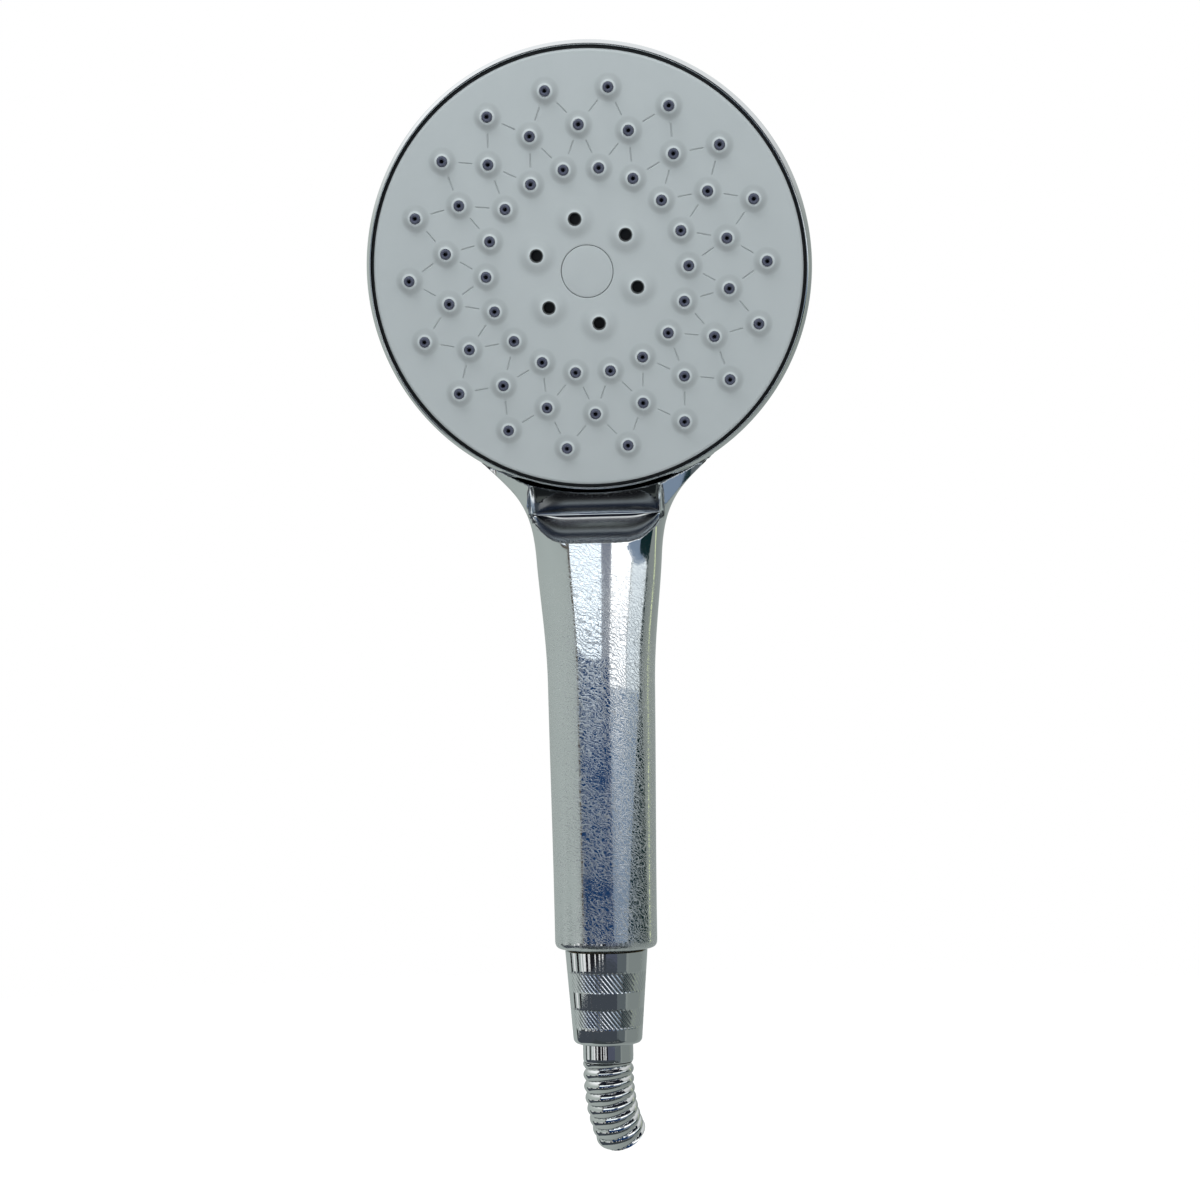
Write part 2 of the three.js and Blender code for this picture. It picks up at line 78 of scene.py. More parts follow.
# ---- sizes, from the frame -------------------------------------------------------------
face_joint = joint("spray_face_turn")
FACE_ORIGIN = np.array(face_joint["pos_m"]) / MM
FACE_NORMAL = np.array(face_joint["axis"])
FACE_NORMAL = FACE_NORMAL / np.linalg.norm(FACE_NORMAL)
FACE_RIGHT = np.array([1.0, 0.0, 0.0])
FACE_UP = np.cross(FACE_NORMAL, FACE_RIGHT)

ring_low, ring_high = node_box("trim_ring")
plate_low, plate_high = node_box("spray_face")
nut_low, nut_high = node_box("hose_nut")
ferrule_low, ferrule_high = node_box("hose_ferrule")
body_low, body_high = node_box("body_shell")
cap_low, cap_high = node_box("face_cap")
HEAD_RADIUS = (ring_high[0] - ring_low[0]) / 2
PLATE_RADIUS = (plate_high[0] - plate_low[0]) / 2
CAP_RADIUS = (cap_high[0] - cap_low[0]) / 2
NUT_TOP_RADIUS = (nut_high[0] - nut_low[0]) / 2
NUT_BOTTOM_RADIUS = NUT_TOP_RADIUS - 2.05
GRIP_BOTTOM = body_low[2]
GRIP_RADIUS = 14.6
FERRULE_RADIUS = (ferrule_high[0] - ferrule_low[0]) / 2
HOSE_RADIUS = FERRULE_RADIUS + 0.05

# Levels along the spray axis, zero at the nozzle tips.
FACE_TOP = -2.2
PLATE_BOTTOM = -4.2
RIM_BACK = -9.0
SHELL_FRONT = -9.3
HEAD_DEPTH = 30.5

# The nozzle pattern stands slightly turned in the plate.
PATTERN_TURN = 1.3
RINGS = (
    {"radius": 28.3, "count": 18, "start": PATTERN_TURN},
    {"radius": 39.8, "count": 18, "start": 10 + PATTERN_TURN},
    {"radius": 50.0, "count": 18, "start": PATTERN_TURN},
)
JETS = {"radius": 14.7, "count": 6, "start": 40 + PATTERN_TURN}


# ---- camera ----------------------------------------------------------------------------
# The camera stands in front of the handle, a little to the right, and looks slightly up.
CAMERA_PLACE = (0.03613, -0.56254, 0.06871)
CAMERA_YAW = -3.675
CAMERA_PITCH = 4.534
CAMERA_ROLL = -1.044
CAMERA_LENS = 58.5


def make_camera():
    data = bpy.data.cameras.new("camera")
    data.sensor_width = 36.0
    data.lens = CAMERA_LENS
    data.clip_start = 0.01
    camera = bpy.data.objects.new("camera", data)
    bpy.context.scene.collection.objects.link(camera)
    yaw, pitch, roll = (math.radians(a) for a in (CAMERA_YAW, CAMERA_PITCH, CAMERA_ROLL))
    ahead = Vector((math.sin(yaw) * math.cos(pitch), math.cos(yaw) * math.cos(pitch), math.sin(pitch)))
    right = Vector((math.cos(yaw), -math.sin(yaw), 0.0))
    up = right.cross(ahead)
    turned_right = math.cos(roll) * right + math.sin(roll) * up
    turned_up = math.cos(roll) * up - math.sin(roll) * right
    turn = Matrix((turned_right, turned_up, -ahead)).transposed()
    camera.matrix_world = Matrix.Translation(CAMERA_PLACE) @ turn.to_4x4()
    bpy.context.scene.camera = camera


# ---- mesh tools ------------------------------------------------------------------------
def add_piece(name, points, faces, body, material, replaces=(), normals=None, sharp=None,
              shade=None):
    """A mesh object from points in mm, riding on a body. Its material may read each point's shade."""
    mesh = bpy.data.meshes.new(name)
    mesh.from_pydata((np.asarray(points) * MM).tolist(), [], [list(f) for f in faces])
    mesh.validate()
    mesh.update()
    piece = bpy.data.objects.new(name, mesh)
    bpy.context.scene.collection.objects.link(piece)
    mesh.materials.append(material)
    mesh.polygons.foreach_set("use_smooth", [True] * len(mesh.polygons))
    if shade is not None:
        layer = mesh.attributes.new("shade", "FLOAT", "POINT")
        layer.data.foreach_set("value", np.asarray(shade, np.float32))
    if sharp is not None:
        mesh.set_sharp_from_angle(angle=math.radians(sharp))
    if normals is not None:
        mesh.normals_split_custom_set_from_vertices(np.asarray(normals).tolist())
    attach(piece, body)
    if replaces:
        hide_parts(*replaces)


def to_world(points):
    """Points of the spray head's own frame (right, up, out) to the object's frame."""
    points = np.asarray(points, float)
    axes = np.stack([FACE_RIGHT, FACE_UP, FACE_NORMAL])
    return points @ axes + FACE_ORIGIN


def rounded(outline, radii, steps=5):
    """The closed outline with each corner replaced by a small arc."""
    outline = [np.array(p, float) for p in outline]
    if np.isscalar(radii):
        radii = [radii] * len(outline)
    result = []
    for i, (corner, radius) in enumerate(zip(outline, radii)):
        before = outline[i - 1] - corner
        after = outline[(i + 1) % len(outline)] - corner
        if radius <= 0:
            result.append(corner)
            continue
        reach_before = min(radius, 0.49 * np.linalg.norm(before))
        reach_after = min(radius, 0.49 * np.linalg.norm(after))
        start = corner + before / np.linalg.norm(before) * reach_before
        end = corner + after / np.linalg.norm(after) * reach_after
        for j in range(steps + 1):
            t = j / steps
            result.append((1 - t) ** 2 * start + 2 * t * (1 - t) * corner + t * t * end)
    return np.array(result)


def wrapped_faces(rows, columns):
    """Faces of a grid of points that closes on itself in both directions."""
    index = np.arange(rows * columns).reshape(rows, columns)
    following = np.roll(index, -1, axis=0)
    corners = [index, following, np.roll(following, -1, axis=1), np.roll(index, -1, axis=1)]
    return np.stack(corners, axis=-1).reshape(-1, 4)


def turned(outline, sides, centre=(0.0, 0.0)):
    """A closed ring about Z from a closed outline of (radius, height) points."""
    outline = np.asarray(outline, float)
    count = len(outline)
    angles = np.arange(sides) * 2 * math.pi / sides
    points = np.empty((sides, count, 3))
    points[..., 0] = centre[0] + np.cos(angles)[:, None] * outline[:, 0]
    points[..., 1] = centre[1] + np.sin(angles)[:, None] * outline[:, 0]
    points[..., 2] = outline[:, 1]
    return points.reshape(-1, 3), wrapped_faces(sides, count)


def turned_solid(outline, sides):
    """A closed solid about Z from an open outline that starts and ends on the axis."""
    outline = np.asarray(outline, float)
    inner = outline[1:-1]
    count = len(inner)
    angles = np.arange(sides) * 2 * math.pi / sides
    points = np.empty((sides, count, 3))
    points[..., 0] = np.cos(angles)[:, None] * inner[:, 0]
    points[..., 1] = np.sin(angles)[:, None] * inner[:, 0]
    points[..., 2] = inner[:, 1]
    points = points.reshape(-1, 3)
    faces = []
    for side in range(sides):
        here = side * count
        there = ((side + 1) % sides) * count
        for k in range(count - 1):
            faces.append((here + k, there + k, there + k + 1, here + k + 1))
        faces.append((sides * count, there, here))
        faces.append((sides * count + 1, here + count - 1, there + count - 1))
    ends = np.array([[0, 0, outline[0][1]], [0, 0, outline[-1][1]]])
    return np.vstack([points, ends]), faces


def joined(parts):
    """One list of points and faces from several."""
    points, faces, offset = [], [], 0
    for part_points, part_faces in parts:
        points.append(part_points)
        faces.extend([tuple(int(i) + offset for i in f) for f in part_faces])
        offset += len(part_points)
    return np.vstack(points), faces


def places(row):
    """Centres of a ring of nozzles, in the face's plane."""
    angles = np.radians(row["start"] + 360.0 / row["count"] * np.arange(row["count"]))
    return np.stack([row["radius"] * np.cos(angles), row["radius"] * np.sin(angles)], axis=1)


def smoothstep(low, high, value):
    t = np.clip((value - low) / (high - low), 0, 1)
    return t * t * (3 - 2 * t)


# ---- materials -------------------------------------------------------------------------
class Material:
    """A small builder for procedural materials on object coordinates."""

    def __init__(self, name):
        self.material = bpy.data.materials.new(name)
        self.material.use_nodes = True
        self.tree = self.material.node_tree
        self.shader = self.tree.nodes["Principled BSDF"]
        self.place = self.node("ShaderNodeTexCoord").outputs["Object"]

    def node(self, kind, **settings):
        node = self.tree.nodes.new(kind)
        for key, value in settings.items():
            setattr(node, key, value)
        return node

    def link(self, output, node, socket):
        self.tree.links.new(output, node.inputs[socket])

    def set(self, **values):
        for key, value in values.items():
            self.shader.inputs[key.replace("_", " ")].default_value = value

    def stretched(self, scale, turn=(0.0, 0.0, 0.0)):
        mapping = self.node("ShaderNodeMapping")
        mapping.inputs["Scale"].default_value = scale
        mapping.inputs["Rotation"].default_value = turn
        self.link(self.place, mapping, "Vector")
        return mapping.outputs["Vector"]

    def noise(self, scale, detail=4.0, rough=0.5, distortion=0.0, place=None):
        node = self.node("ShaderNodeTexNoise")
        node.inputs["Scale"].default_value = scale
        node.inputs["Detail"].default_value = detail
        node.inputs["Roughness"].default_value = rough
        node.inputs["Distortion"].default_value = distortion
        self.link(place or self.place, node, "Vector")
        return node.outputs["Fac"]

    def waves(self, scale, distortion, detail, detail_scale, place):
        node = self.node("ShaderNodeTexWave", wave_type="BANDS", bands_direction="DIAGONAL")
        node.inputs["Scale"].default_value = scale
        node.inputs["Distortion"].default_value = distortion
        node.inputs["Detail"].default_value = detail
        node.inputs["Detail Scale"].default_value = detail_scale
        self.link(place, node, "Vector")
        return node.outputs["Fac"]

    def ramp(self, value, low, high, out_low=0.0, out_high=1.0):
        node = self.node("ShaderNodeMapRange")
        node.inputs["From Min"].default_value = low
        node.inputs["From Max"].default_value = high
        node.inputs["To Min"].default_value = out_low
        node.inputs["To Max"].default_value = out_high
        self.link(value, node, "Value")
        return node.outputs["Result"]

    def maths(self, operation, first, second):
        node = self.node("ShaderNodeMath", operation=operation)
        for index, value in enumerate((first, second)):
            if isinstance(value, (int, float)):
                node.inputs[index].default_value = value
            else:
                self.tree.links.new(value, node.inputs[index])
        return node.outputs["Value"]

    def mixed(self, factor, low, high):
        node = self.node("ShaderNodeMix", data_type="RGBA")
        self.tree.links.new(factor, node.inputs[0])
        node.inputs[6].default_value = (*low, 1)
        node.inputs[7].default_value = (*high, 1)
        return node.outputs[2]

    def scaled_colour(self, colour, amount):
        """Sets the base colour to a colour times an amount."""
        scale = self.node("ShaderNodeVectorMath", operation="SCALE")
        self.link(colour, scale, "Vector")
        self.link(amount, scale, "Scale")
        self.link(scale.outputs["Vector"], self.shader, "Base Color")

    def bump(self, height, distance, strength=1.0):
        node = self.node("ShaderNodeBump")
        node.inputs["Strength"].default_value = strength
        node.inputs["Distance"].default_value = distance
        self.link(height, node, "Height")
        self.link(node.outputs["Normal"], self.shader, "Normal")


def polished_chrome(name, rub=1.0, tint=(0.80, 0.82, 0.83)):
    """Chrome plating with smears, and with the fine curling marks of rubbing on the grip.

    rub is how strong the marks are. They fade out just below the thumb scoop.
    """
    m = Material(name)
    m.set(Metallic=1.0)
    smear = m.noise(38, 5, 0.6, 0.6)
    axes = m.node("ShaderNodeSeparateXYZ")
    m.link(m.place, axes, "Vector")
    grip = m.ramp(axes.outputs["Z"], 0.132, 0.100)
    patches = m.maths("MULTIPLY", m.ramp(m.noise(42, 3, 0.55, 0.3), 0.24, 0.46), grip)
    marks = m.waves(310, 18.0, 2.0, 0.7, m.stretched((1.0, 1.0, 1.4), (0.4, 0.2, 0.5)))
    cross_marks = m.waves(400, 26.0, 2.0, 1.1, m.stretched((1.2, 0.8, 1.9), (1.1, 0.4, -0.7)))
    lines = m.maths("ADD", m.ramp(marks, 0.66, 0.98), m.ramp(cross_marks, 0.72, 0.98))
    scratches = m.maths("MULTIPLY", lines, patches)
    # Where shade is above zero the plating is hazy, and below zero its colour is darkened: painted shade.
    shade = m.node("ShaderNodeAttribute", attribute_name="shade").outputs["Fac"]
    dark = m.maths("ADD", m.maths("MINIMUM", shade, 0.0), 1.0)
    m.scaled_colour(m.mixed(smear, tuple(0.95 * c for c in tint), tint), dark)
    recess = m.maths("MULTIPLY", m.maths("MAXIMUM", shade, 0.0), 0.20)
    haze = m.maths("ADD", m.maths("MULTIPLY", scratches, 0.34 * rub), recess)
    m.link(m.maths("ADD", m.ramp(smear, 0.3, 0.8, 0.012, 0.05), haze), m.shader, "Roughness")
    m.bump(scratches, 0.000006 * rub)
    return m.material


def face_plastic(name):
    """Satin blue-grey ABS with a faint moulded grain; its points' shade paints highlights and shade onto the
    colour.
    """
    m = Material(name)
    m.set(IOR=1.49, Specular_IOR_Level=0.45)
    cloud = m.noise(45, 4, 0.6)
    base = m.mixed(cloud, (0.385, 0.43, 0.443), (0.42, 0.465, 0.478))
    shade = m.node("ShaderNodeAttribute", attribute_name="shade").outputs["Fac"]
    # The points' shade scales the colour: painted highlights and painted shade.
    m.scaled_colour(base, m.maths("ADD", shade, 1.0))
    m.link(m.ramp(m.noise(900, 3, 0.6), 0.3, 0.7, 0.38, 0.50), m.shader, "Roughness")
    m.bump(m.noise(2600, 3, 0.6), 0.00004, 0.25)
    return m.material


def silicone(name):
    m = Material(name)
    m.set(IOR=1.42)
    colour = m.mixed(m.noise(700, 3), (0.052, 0.060, 0.092), (0.082, 0.092, 0.135))
    m.link(colour, m.shader, "Base Color")
    m.link(m.ramp(m.noise(1500, 2), 0.3, 0.7, 0.42, 0.6), m.shader, "Roughness")
    m.bump(m.noise(3200, 2), 0.00003, 0.3)
    return m.material


def plain_plastic(name, dark, light, rough=(0.4, 0.55)):
    m = Material(name)
    m.link(m.mixed(m.noise(160, 4), dark, light), m.shader, "Base Color")
    m.link(m.ramp(m.noise(900, 3), 0.3, 0.7, *rough), m.shader, "Roughness")
    m.bump(m.noise(2400, 3), 0.00004, 0.3)
    return m.material


def turned_metal(name, dark, light, rough=(0.18, 0.32)):
    """Machined metal with the fine rings that turning leaves."""
    m = Material(name)
    m.set(Metallic=1.0)
    m.link(m.mixed(m.noise(220, 4), dark, light), m.shader, "Base Color")
    rings = m.noise(1200, 2, 0.5, 0.0, m.stretched((0.05, 0.05, 3.0)))
    m.link(m.ramp(rings, 0.3, 0.7, *rough), m.shader, "Roughness")
    m.bump(rings, 0.00002, 0.4)
    return m.material


def make_materials():
    return {
        "chrome": polished_chrome("chrome_plating"),
        "chrome_brass": polished_chrome("chrome_on_brass", 0.08),
        "hose_steel": polished_chrome("hose_steel", 0.08, (0.78, 0.79, 0.79)),
        "face": face_plastic("face_plastic"),
        "silicone": silicone("nozzle_silicone"),
        "inner_plastic": plain_plastic("natural_plastic", (0.60, 0.60, 0.56), (0.72, 0.72, 0.68)),
        "black_plastic": plain_plastic("black_acetal", (0.018, 0.018, 0.02), (0.035, 0.035, 0.04)),
        "rubber": plain_plastic("nitrile_rubber", (0.012, 0.012, 0.013), (0.024, 0.024, 0.026),
                                (0.6, 0.8)),
        "brass": turned_metal("machined_brass", (0.55, 0.39, 0.16), (0.68, 0.50, 0.22)),
        "steel": turned_metal("stainless_steel", (0.46, 0.47, 0.48), (0.58, 0.59, 0.60)),
        "liner": plain_plastic("hose_liner", (0.52, 0.54, 0.52), (0.64, 0.66, 0.64)),
    }


# ---- chrome body: handle and head shell ----------------------------------------------------
# The body is the surface where body_field is zero. Lengths are in mm.
NECK_LOW = 113.0
LIP_HEIGHT = 128.6
ARC_RADIUS = 12.5
ARC_CENTRE = (-17.0, LIP_HEIGHT + ARC_RADIUS)
CREASE = (-5.0, 138.3)
WALL_TOP = (-10.4, 144.0)
NECK_BLEND = 21.0
SCOOP_HALF_WIDTH = 19.4
TRAY_RADIUS = 58.6
TRAY_DEPTH = 13.6
HOLLOW_RADIUS = 52.6
HOLLOW_START = 10.6
SHELL_WALL = 2.4
BORE_RADIUS = 12.0
BORE_TOP = 127.0
PASSAGE_RADIUS = 5.2
PASSAGE_SETBACK = 7.0
PASSAGE_MIDDLE = 133.0
PASSAGE_HALF = 14.0
BODY_PITCH = 1.15


def soft_min(a, b, k):
    h = np.maximum(k - np.abs(a - b), 0) / k
    return np.minimum(a, b) - h * h * k * 0.25


def soft_max(a, b, k):
    return -soft_min(-a, -b, k)


def grip_width(z):
    """Half the handle's width: nearly straight, then opening gently towards the neck."""
    lower = GRIP_RADIUS + 1.0 * smoothstep(10, 110, z)
    return lower + 2.9 * smoothstep(88, 134, z) ** 1.15


def handle_field(x, y, z):
    width = grip_width(z)
    front_depth = GRIP_RADIUS + 1.0 * smoothstep(10, 110, z)
    rise = np.clip((z - NECK_LOW) / 80.0, 0, 1.2)
    # Above the neck the handle's back leans forward with the head.
    lean = 17.0 * rise ** 1.7
    back_depth = np.maximum(width - lean * 0.45, 6.0)
    y_shift = -lean * 0.55
    flat = np.where(y > y_shift, (y - y_shift) / back_depth, (y - y_shift) / front_depth)
    radial = np.sqrt((x / width) ** 2 + flat ** 2) - 1
    side = radial * np.minimum(width, back_depth)
    ends = np.maximum(GRIP_BOTTOM - z, z - 196.0)
    return soft_max(side, ends, 2.2)


def head_field(x, y, z):
    dx = x - FACE_ORIGIN[0]
    dy = y - FACE_ORIGIN[1]
    dz = z - FACE_ORIGIN[2]
    up = dy * FACE_UP[1] + dz * FACE_UP[2]
    depth = -(dy * FACE_NORMAL[1] + dz * FACE_NORMAL[2])
    radius = np.sqrt(dx * dx + up * up)
    rim = 8.0
    edge = HEAD_RADIUS - 0.2
    deep = np.maximum(depth - rim, 0) / (HEAD_DEPTH - rim)
    wide = radius / edge
    level = np.sqrt(deep ** 2 + wide ** 2.6 + 1e-9) - 1
    # Scale by the local slope so that the value is close to a distance.
    slope = np.sqrt((deep / (HEAD_DEPTH - rim)) ** 2 + (1.3 * wide ** 1.6 / edge) ** 2 + 1e-9)
    slope = slope / np.maximum(level + 1, 0.3)
    shell = level / slope
    front = -SHELL_FRONT - depth
    return np.maximum(shell, front), radius, depth


def scoop_field(x, y, z):
    """Negative where the thumb scoop and the space under the rim are cut away."""
    # The scoop's floor rises to the crease at both sides, which makes its lip a U.
    share = np.clip((np.abs(x) - 8.5) / 10.2, 0, 0.995)
    lift = 1 - np.sqrt(1 - share ** 2)
    z = np.where(z < CREASE[1], CREASE[1] - (CREASE[1] - z) / (1 - 0.97 * lift), z)
    circle = np.sqrt((y - ARC_CENTRE[0]) ** 2 + (z - ARC_CENTRE[1]) ** 2) - ARC_RADIUS
    ahead = np.maximum(LIP_HEIGHT - z, y - ARC_CENTRE[0])
    above = np.maximum(ARC_CENTRE[1] - z, y - ARC_CENTRE[0] - ARC_RADIUS)
    hollow = np.minimum(np.minimum(circle, ahead), above)
    along = np.array([WALL_TOP[0] - CREASE[0], WALL_TOP[1] - CREASE[1]])
    along = along / np.linalg.norm(along)
    wall = (y - CREASE[0]) * along[1] - (z - CREASE[1]) * along[0]
    return soft_max(soft_max(hollow, wall, 0.5), np.abs(x) - SCOOP_HALF_WIDTH, 2.5)


def hollow_field(x, y, z, head, radius, depth):
    """Negative in the shell's hollows: plate tray, head, handle bore and the water tube's passage."""
    tray = np.maximum(radius - TRAY_RADIUS, depth - TRAY_DEPTH)
    dome = np.maximum(np.maximum(head + SHELL_WALL, radius - HOLLOW_RADIUS), HOLLOW_START - depth)
    bore = np.maximum(np.hypot(x, y) - BORE_RADIUS, z - BORE_TOP)
    along_passage = np.abs(z - PASSAGE_MIDDLE) - PASSAGE_HALF
    passage = np.maximum(np.hypot(x, y - PASSAGE_SETBACK) - PASSAGE_RADIUS, along_passage)
    return np.minimum(np.minimum(tray, dome), np.minimum(bore, passage))


def body_field(points):
    x, y, z = points[..., 0], points[..., 1], points[..., 2]
    head, radius, depth = head_field(x, y, z)
    # The blend is wide at the back and sides and tight in front, under the scoop.
    blend = 6.0 + (NECK_BLEND - 6.0) * smoothstep(-17.5, -12.0, y)
    solid = soft_min(handle_field(x, y, z), head, blend)
    seat = np.maximum(radius - HEAD_RADIUS - 0.15, depth + SHELL_FRONT)
    seat = np.maximum(seat, 138.0 - z)
    solid = np.maximum(solid, -seat)
    solid = soft_max(solid, -scoop_field(x, y, z), 0.4)
    return soft_max(solid, -hollow_field(x, y, z, head, radius, depth), 0.6)


def field_normals(field, points, step=0.02):
    gradient = np.empty_like(points)
    for axis in range(3):
        offset = np.zeros(3)
        offset[axis] = step
        gradient[:, axis] = (field(points + offset) - field(points - offset)) / (2 * step)
    length = np.linalg.norm(gradient, axis=1)
    return gradient, np.maximum(length, 1e-6)


def settle(field, points, rounds=4, reach=0.6):
    """Moves points onto the surface along the field's slope."""
    for _ in range(rounds):
        value = field(points)
        gradient, length = field_normals(field, points)
        step = np.clip(value / length, -reach, reach)
        points = points - gradient / length[:, None] * step[:, None]
    return points


def field_values(field, axes):
    """The field at every grid point, worked out slab by slab."""
    values = np.empty(tuple(len(a) for a in axes))
    for i, x in enumerate(axes[0]):
        slab = np.empty((len(axes[1]), len(axes[2]), 3))
        slab[..., 0] = x
        slab[..., 1] = axes[1][:, None]
        slab[..., 2] = axes[2][None, :]
        values[i] = field(slab)
    return values


def crossed_cells(inside):
    """The cells that have corners on both sides of the surface."""
    shape = inside.shape
    corners_inside = np.zeros(tuple(n - 1 for n in shape), np.int8)
    for corner in range(8):
        i, j, k = corner & 1, corner >> 1 & 1, corner >> 2 & 1
        corners_inside += inside[i:shape[0] - 1 + i, j:shape[1] - 1 + j, k:shape[2] - 1 + k]
    return np.argwhere((corners_inside > 0) & (corners_inside < 8))


def cell_points(values, cells):
    """The middle of the places where the surface crosses each cell's edges, in cells."""
    total = np.zeros((len(cells), 3))
    number = np.zeros(len(cells))
    for axis in range(3):
        others = [a for a in range(3) if a != axis]
        for u in (0, 1):
            for v in (0, 1):
                start = np.zeros(3, int)
                start[others[0]], start[others[1]] = u, v
                end = start.copy()
                end[axis] = 1
                a = values[tuple((cells + start).T)]
                b = values[tuple((cells + end).T)]
                hit = (a < 0) != (b < 0)
                share = np.where(hit, a / np.where(hit, a - b, 1), 0)
                point = start[None, :] + (end - start)[None, :] * share[:, None]
                total[hit] += point[hit]
                number[hit] += 1
    return cells + total / number[:, None]


def crossing_quads(inside, index, axis):
    """A quad for each grid edge along an axis that the surface crosses, facing outwards."""
    change = inside != np.roll(inside, -1, axis=axis)
    keep = [slice(1, n - 1) for n in inside.shape]
    keep[axis] = slice(0, inside.shape[axis] - 1)
    offset = np.ones(3, int)
    offset[axis] = 0
    where = np.argwhere(change[tuple(keep)]) + offset
    step_u, step_v = np.zeros(3, int), np.zeros(3, int)
    step_u[(axis + 1) % 3] = 1
    step_v[(axis + 2) % 3] = 1
    corners = [where, where - step_u, where - step_u - step_v, where - step_v]
    loop = np.stack([index[tuple(c.T)] for c in corners], axis=1)
    outwards = inside[tuple(where.T)]
    loop[~outwards] = loop[~outwards][:, ::-1]
    return loop


def surface_net(field, low, high, pitch):
    """A closed quad mesh of the field's zero surface, one point in each crossed cell."""
    axes = [np.arange(low[i], high[i] + pitch, pitch) for i in range(3)]
    values = field_values(field, axes)
    inside = values < 0
    cells = crossed_cells(inside)
    index = np.full(tuple(n - 1 for n in inside.shape), -1, np.int64)
    index[tuple(cells.T)] = np.arange(len(cells))
    points = cell_points(values, cells) * pitch + np.array([a[0] for a in axes])
    return points, np.vstack([crossing_quads(inside, index, axis) for axis in range(3)])


def refine(points, faces, wanted, field):
    """Splits the faces that touch wanted points into four, and settles the new points."""
    mesh = bmesh.new()
    verts = [mesh.verts.new(p) for p in points]
    for face in faces:
        mesh.faces.new([verts[i] for i in face])
    marked = [v for v, w in zip(verts, wanted) if w]
    edges = {e for v in marked for e in v.link_edges}
    bmesh.ops.subdivide_edges(mesh, edges=list(edges), cuts=1, use_grid_fill=True)
    bmesh.ops.triangulate(mesh, faces=[f for f in mesh.faces if len(f.verts) > 4])
    mesh.verts.index_update()
    new_points = np.array([v.co for v in mesh.verts])
    new_faces = [tuple(v.index for v in f.verts) for f in mesh.faces]
    mesh.free()
    return settle(field, new_points, 4, 0.3), new_faces


def near_edges(points, reach):
    """The points within reach of the scoop, of the handle's bottom or of the shell's front edge."""
    x, y, z = points.T
    near_scoop = (np.abs(scoop_field(x, y, z)) < reach) & (z < 150) & (z > 126)
    near_bottom = z < GRIP_BOTTOM + reach
    up = (points - FACE_ORIGIN) @ FACE_UP
    depth = (FACE_ORIGIN - points) @ FACE_NORMAL
    near_rim = (np.hypot(x, up) > HEAD_RADIUS - 2.2) & (depth < -SHELL_FRONT + reach) & (z > 138)
    return near_scoop | near_bottom | near_rim


def body_shade(points):
    """The scoop's floor is a little hazy, and its wall under the rim is darkened with painted shade."""
    x, y, z = points.T
    in_scoop = 1 - smoothstep(0.1, 0.6, np.abs(scoop_field(x, y, z)))
    hazy = 1 - smoothstep(CREASE[1] - 2.5, CREASE[1] - 0.5, z)
    # The wall under the rim gets painted shade.
    wall_painted_shade = smoothstep(CREASE[1] + 0.1, CREASE[1] + 0.6, z) * (np.abs(x) < SCOOP_HALF_WIDTH - 1.5)
    return in_scoop * (hazy - 0.8 * wall_painted_shade)


def make_body(materials):
    low = np.array([-HEAD_RADIUS - 2, body_low[1] - 4, GRIP_BOTTOM - 2])
    high = np.array([HEAD_RADIUS + 2, body_high[1] + 4, body_high[2] + 3])
    points, faces = surface_net(body_field, low, high, BODY_PITCH)
    points = settle(body_field, points)
    for reach in (1.6, 0.8):
        points, faces = refine(points, faces, near_edges(points, reach), body_field)
    gradient, length = field_normals(body_field, points)
    add_piece("chrome_body", points, faces, "handle", materials["chrome"], ("body_shell",),
              normals=gradient / length[:, None], shade=body_shade(points))


# ---- rim ---------------------------------------------------------------------------------
RIM_GAP = 0.9


def make_rim(materials):
    inner = PLATE_RADIUS + RIM_GAP
    outline = [
        (inner, RIM_BACK),
        (HEAD_RADIUS, RIM_BACK),
        (HEAD_RADIUS, -5.3),
        (inner + 0.5, -3.0),
        (inner + 0.15, -2.8),
        (inner, -3.1),
    ]
    section = rounded(outline, [0.1, 0.25, 0.9, 0.35, 0.15, 0.1], 7)
    points, faces = turned(section, 288)
    add_piece("chrome_rim", to_world(points), faces, "handle", materials["chrome"],
                     ("trim_ring",), sharp=50)


# ---- spray plate ---------------------------------------------------------------------------
RAIN_HOLE = 1.55
JET_HOLE = 1.95
CAP_HOLE = CAP_RADIUS + 0.12
RAIN_FLARE = 4.1
JET_FLARE = 6.0
# The face plastic's shade value that paints it near black: painted shade deep in holes and gaps.
DEEP_PAINTED_SHADE = -0.97


def link_lines():
    """Short engraved lines between each middle nozzle and its neighbours."""
    inner, middle, outer = (places(row) for row in RINGS)
    lines = []
    for i in range(RINGS[1]["count"]):
        for other in (inner, outer):
            for neighbour in (i, (i + 1) % len(other)):
                start, end = middle[i], other[neighbour]
                lines.append((start + (end - start) * 0.36, start + (end - start) * 0.64))
    return lines


def line_distance(points, start, end):
    along = end - start
    share = np.clip(((points - start) @ along) / (along @ along), 0, 1)
    return np.linalg.norm(points - start - share[:, None] * along, axis=1)


def plate_height(points, lines):
    radius = np.linalg.norm(points, axis=1)
    height = FACE_TOP - 0.75 * (radius / PLATE_RADIUS) ** 2
    height = height - 0.5 * smoothstep(PLATE_RADIUS - 0.7, PLATE_RADIUS, radius) ** 2
    for row in RINGS:
        for centre in places(row):
            away = np.linalg.norm(points - centre, axis=1)
            height = height + 0.85 * (1 - smoothstep(RAIN_HOLE - 0.4, RAIN_FLARE, away)) ** 1.3
    for centre in places(JETS):
        away = np.linalg.norm(points - centre, axis=1)
        height = height + 0.9 * (1 - smoothstep(JET_HOLE - 0.4, JET_FLARE, away)) ** 1.3
    for start, end in lines:
        away = line_distance(points, start, end)
        height = height - 0.2 * (1 - smoothstep(0.1, 0.27, away))
    height = height - 0.12 * (1 - smoothstep(CAP_HOLE, CAP_HOLE + 0.25, radius))
    return height


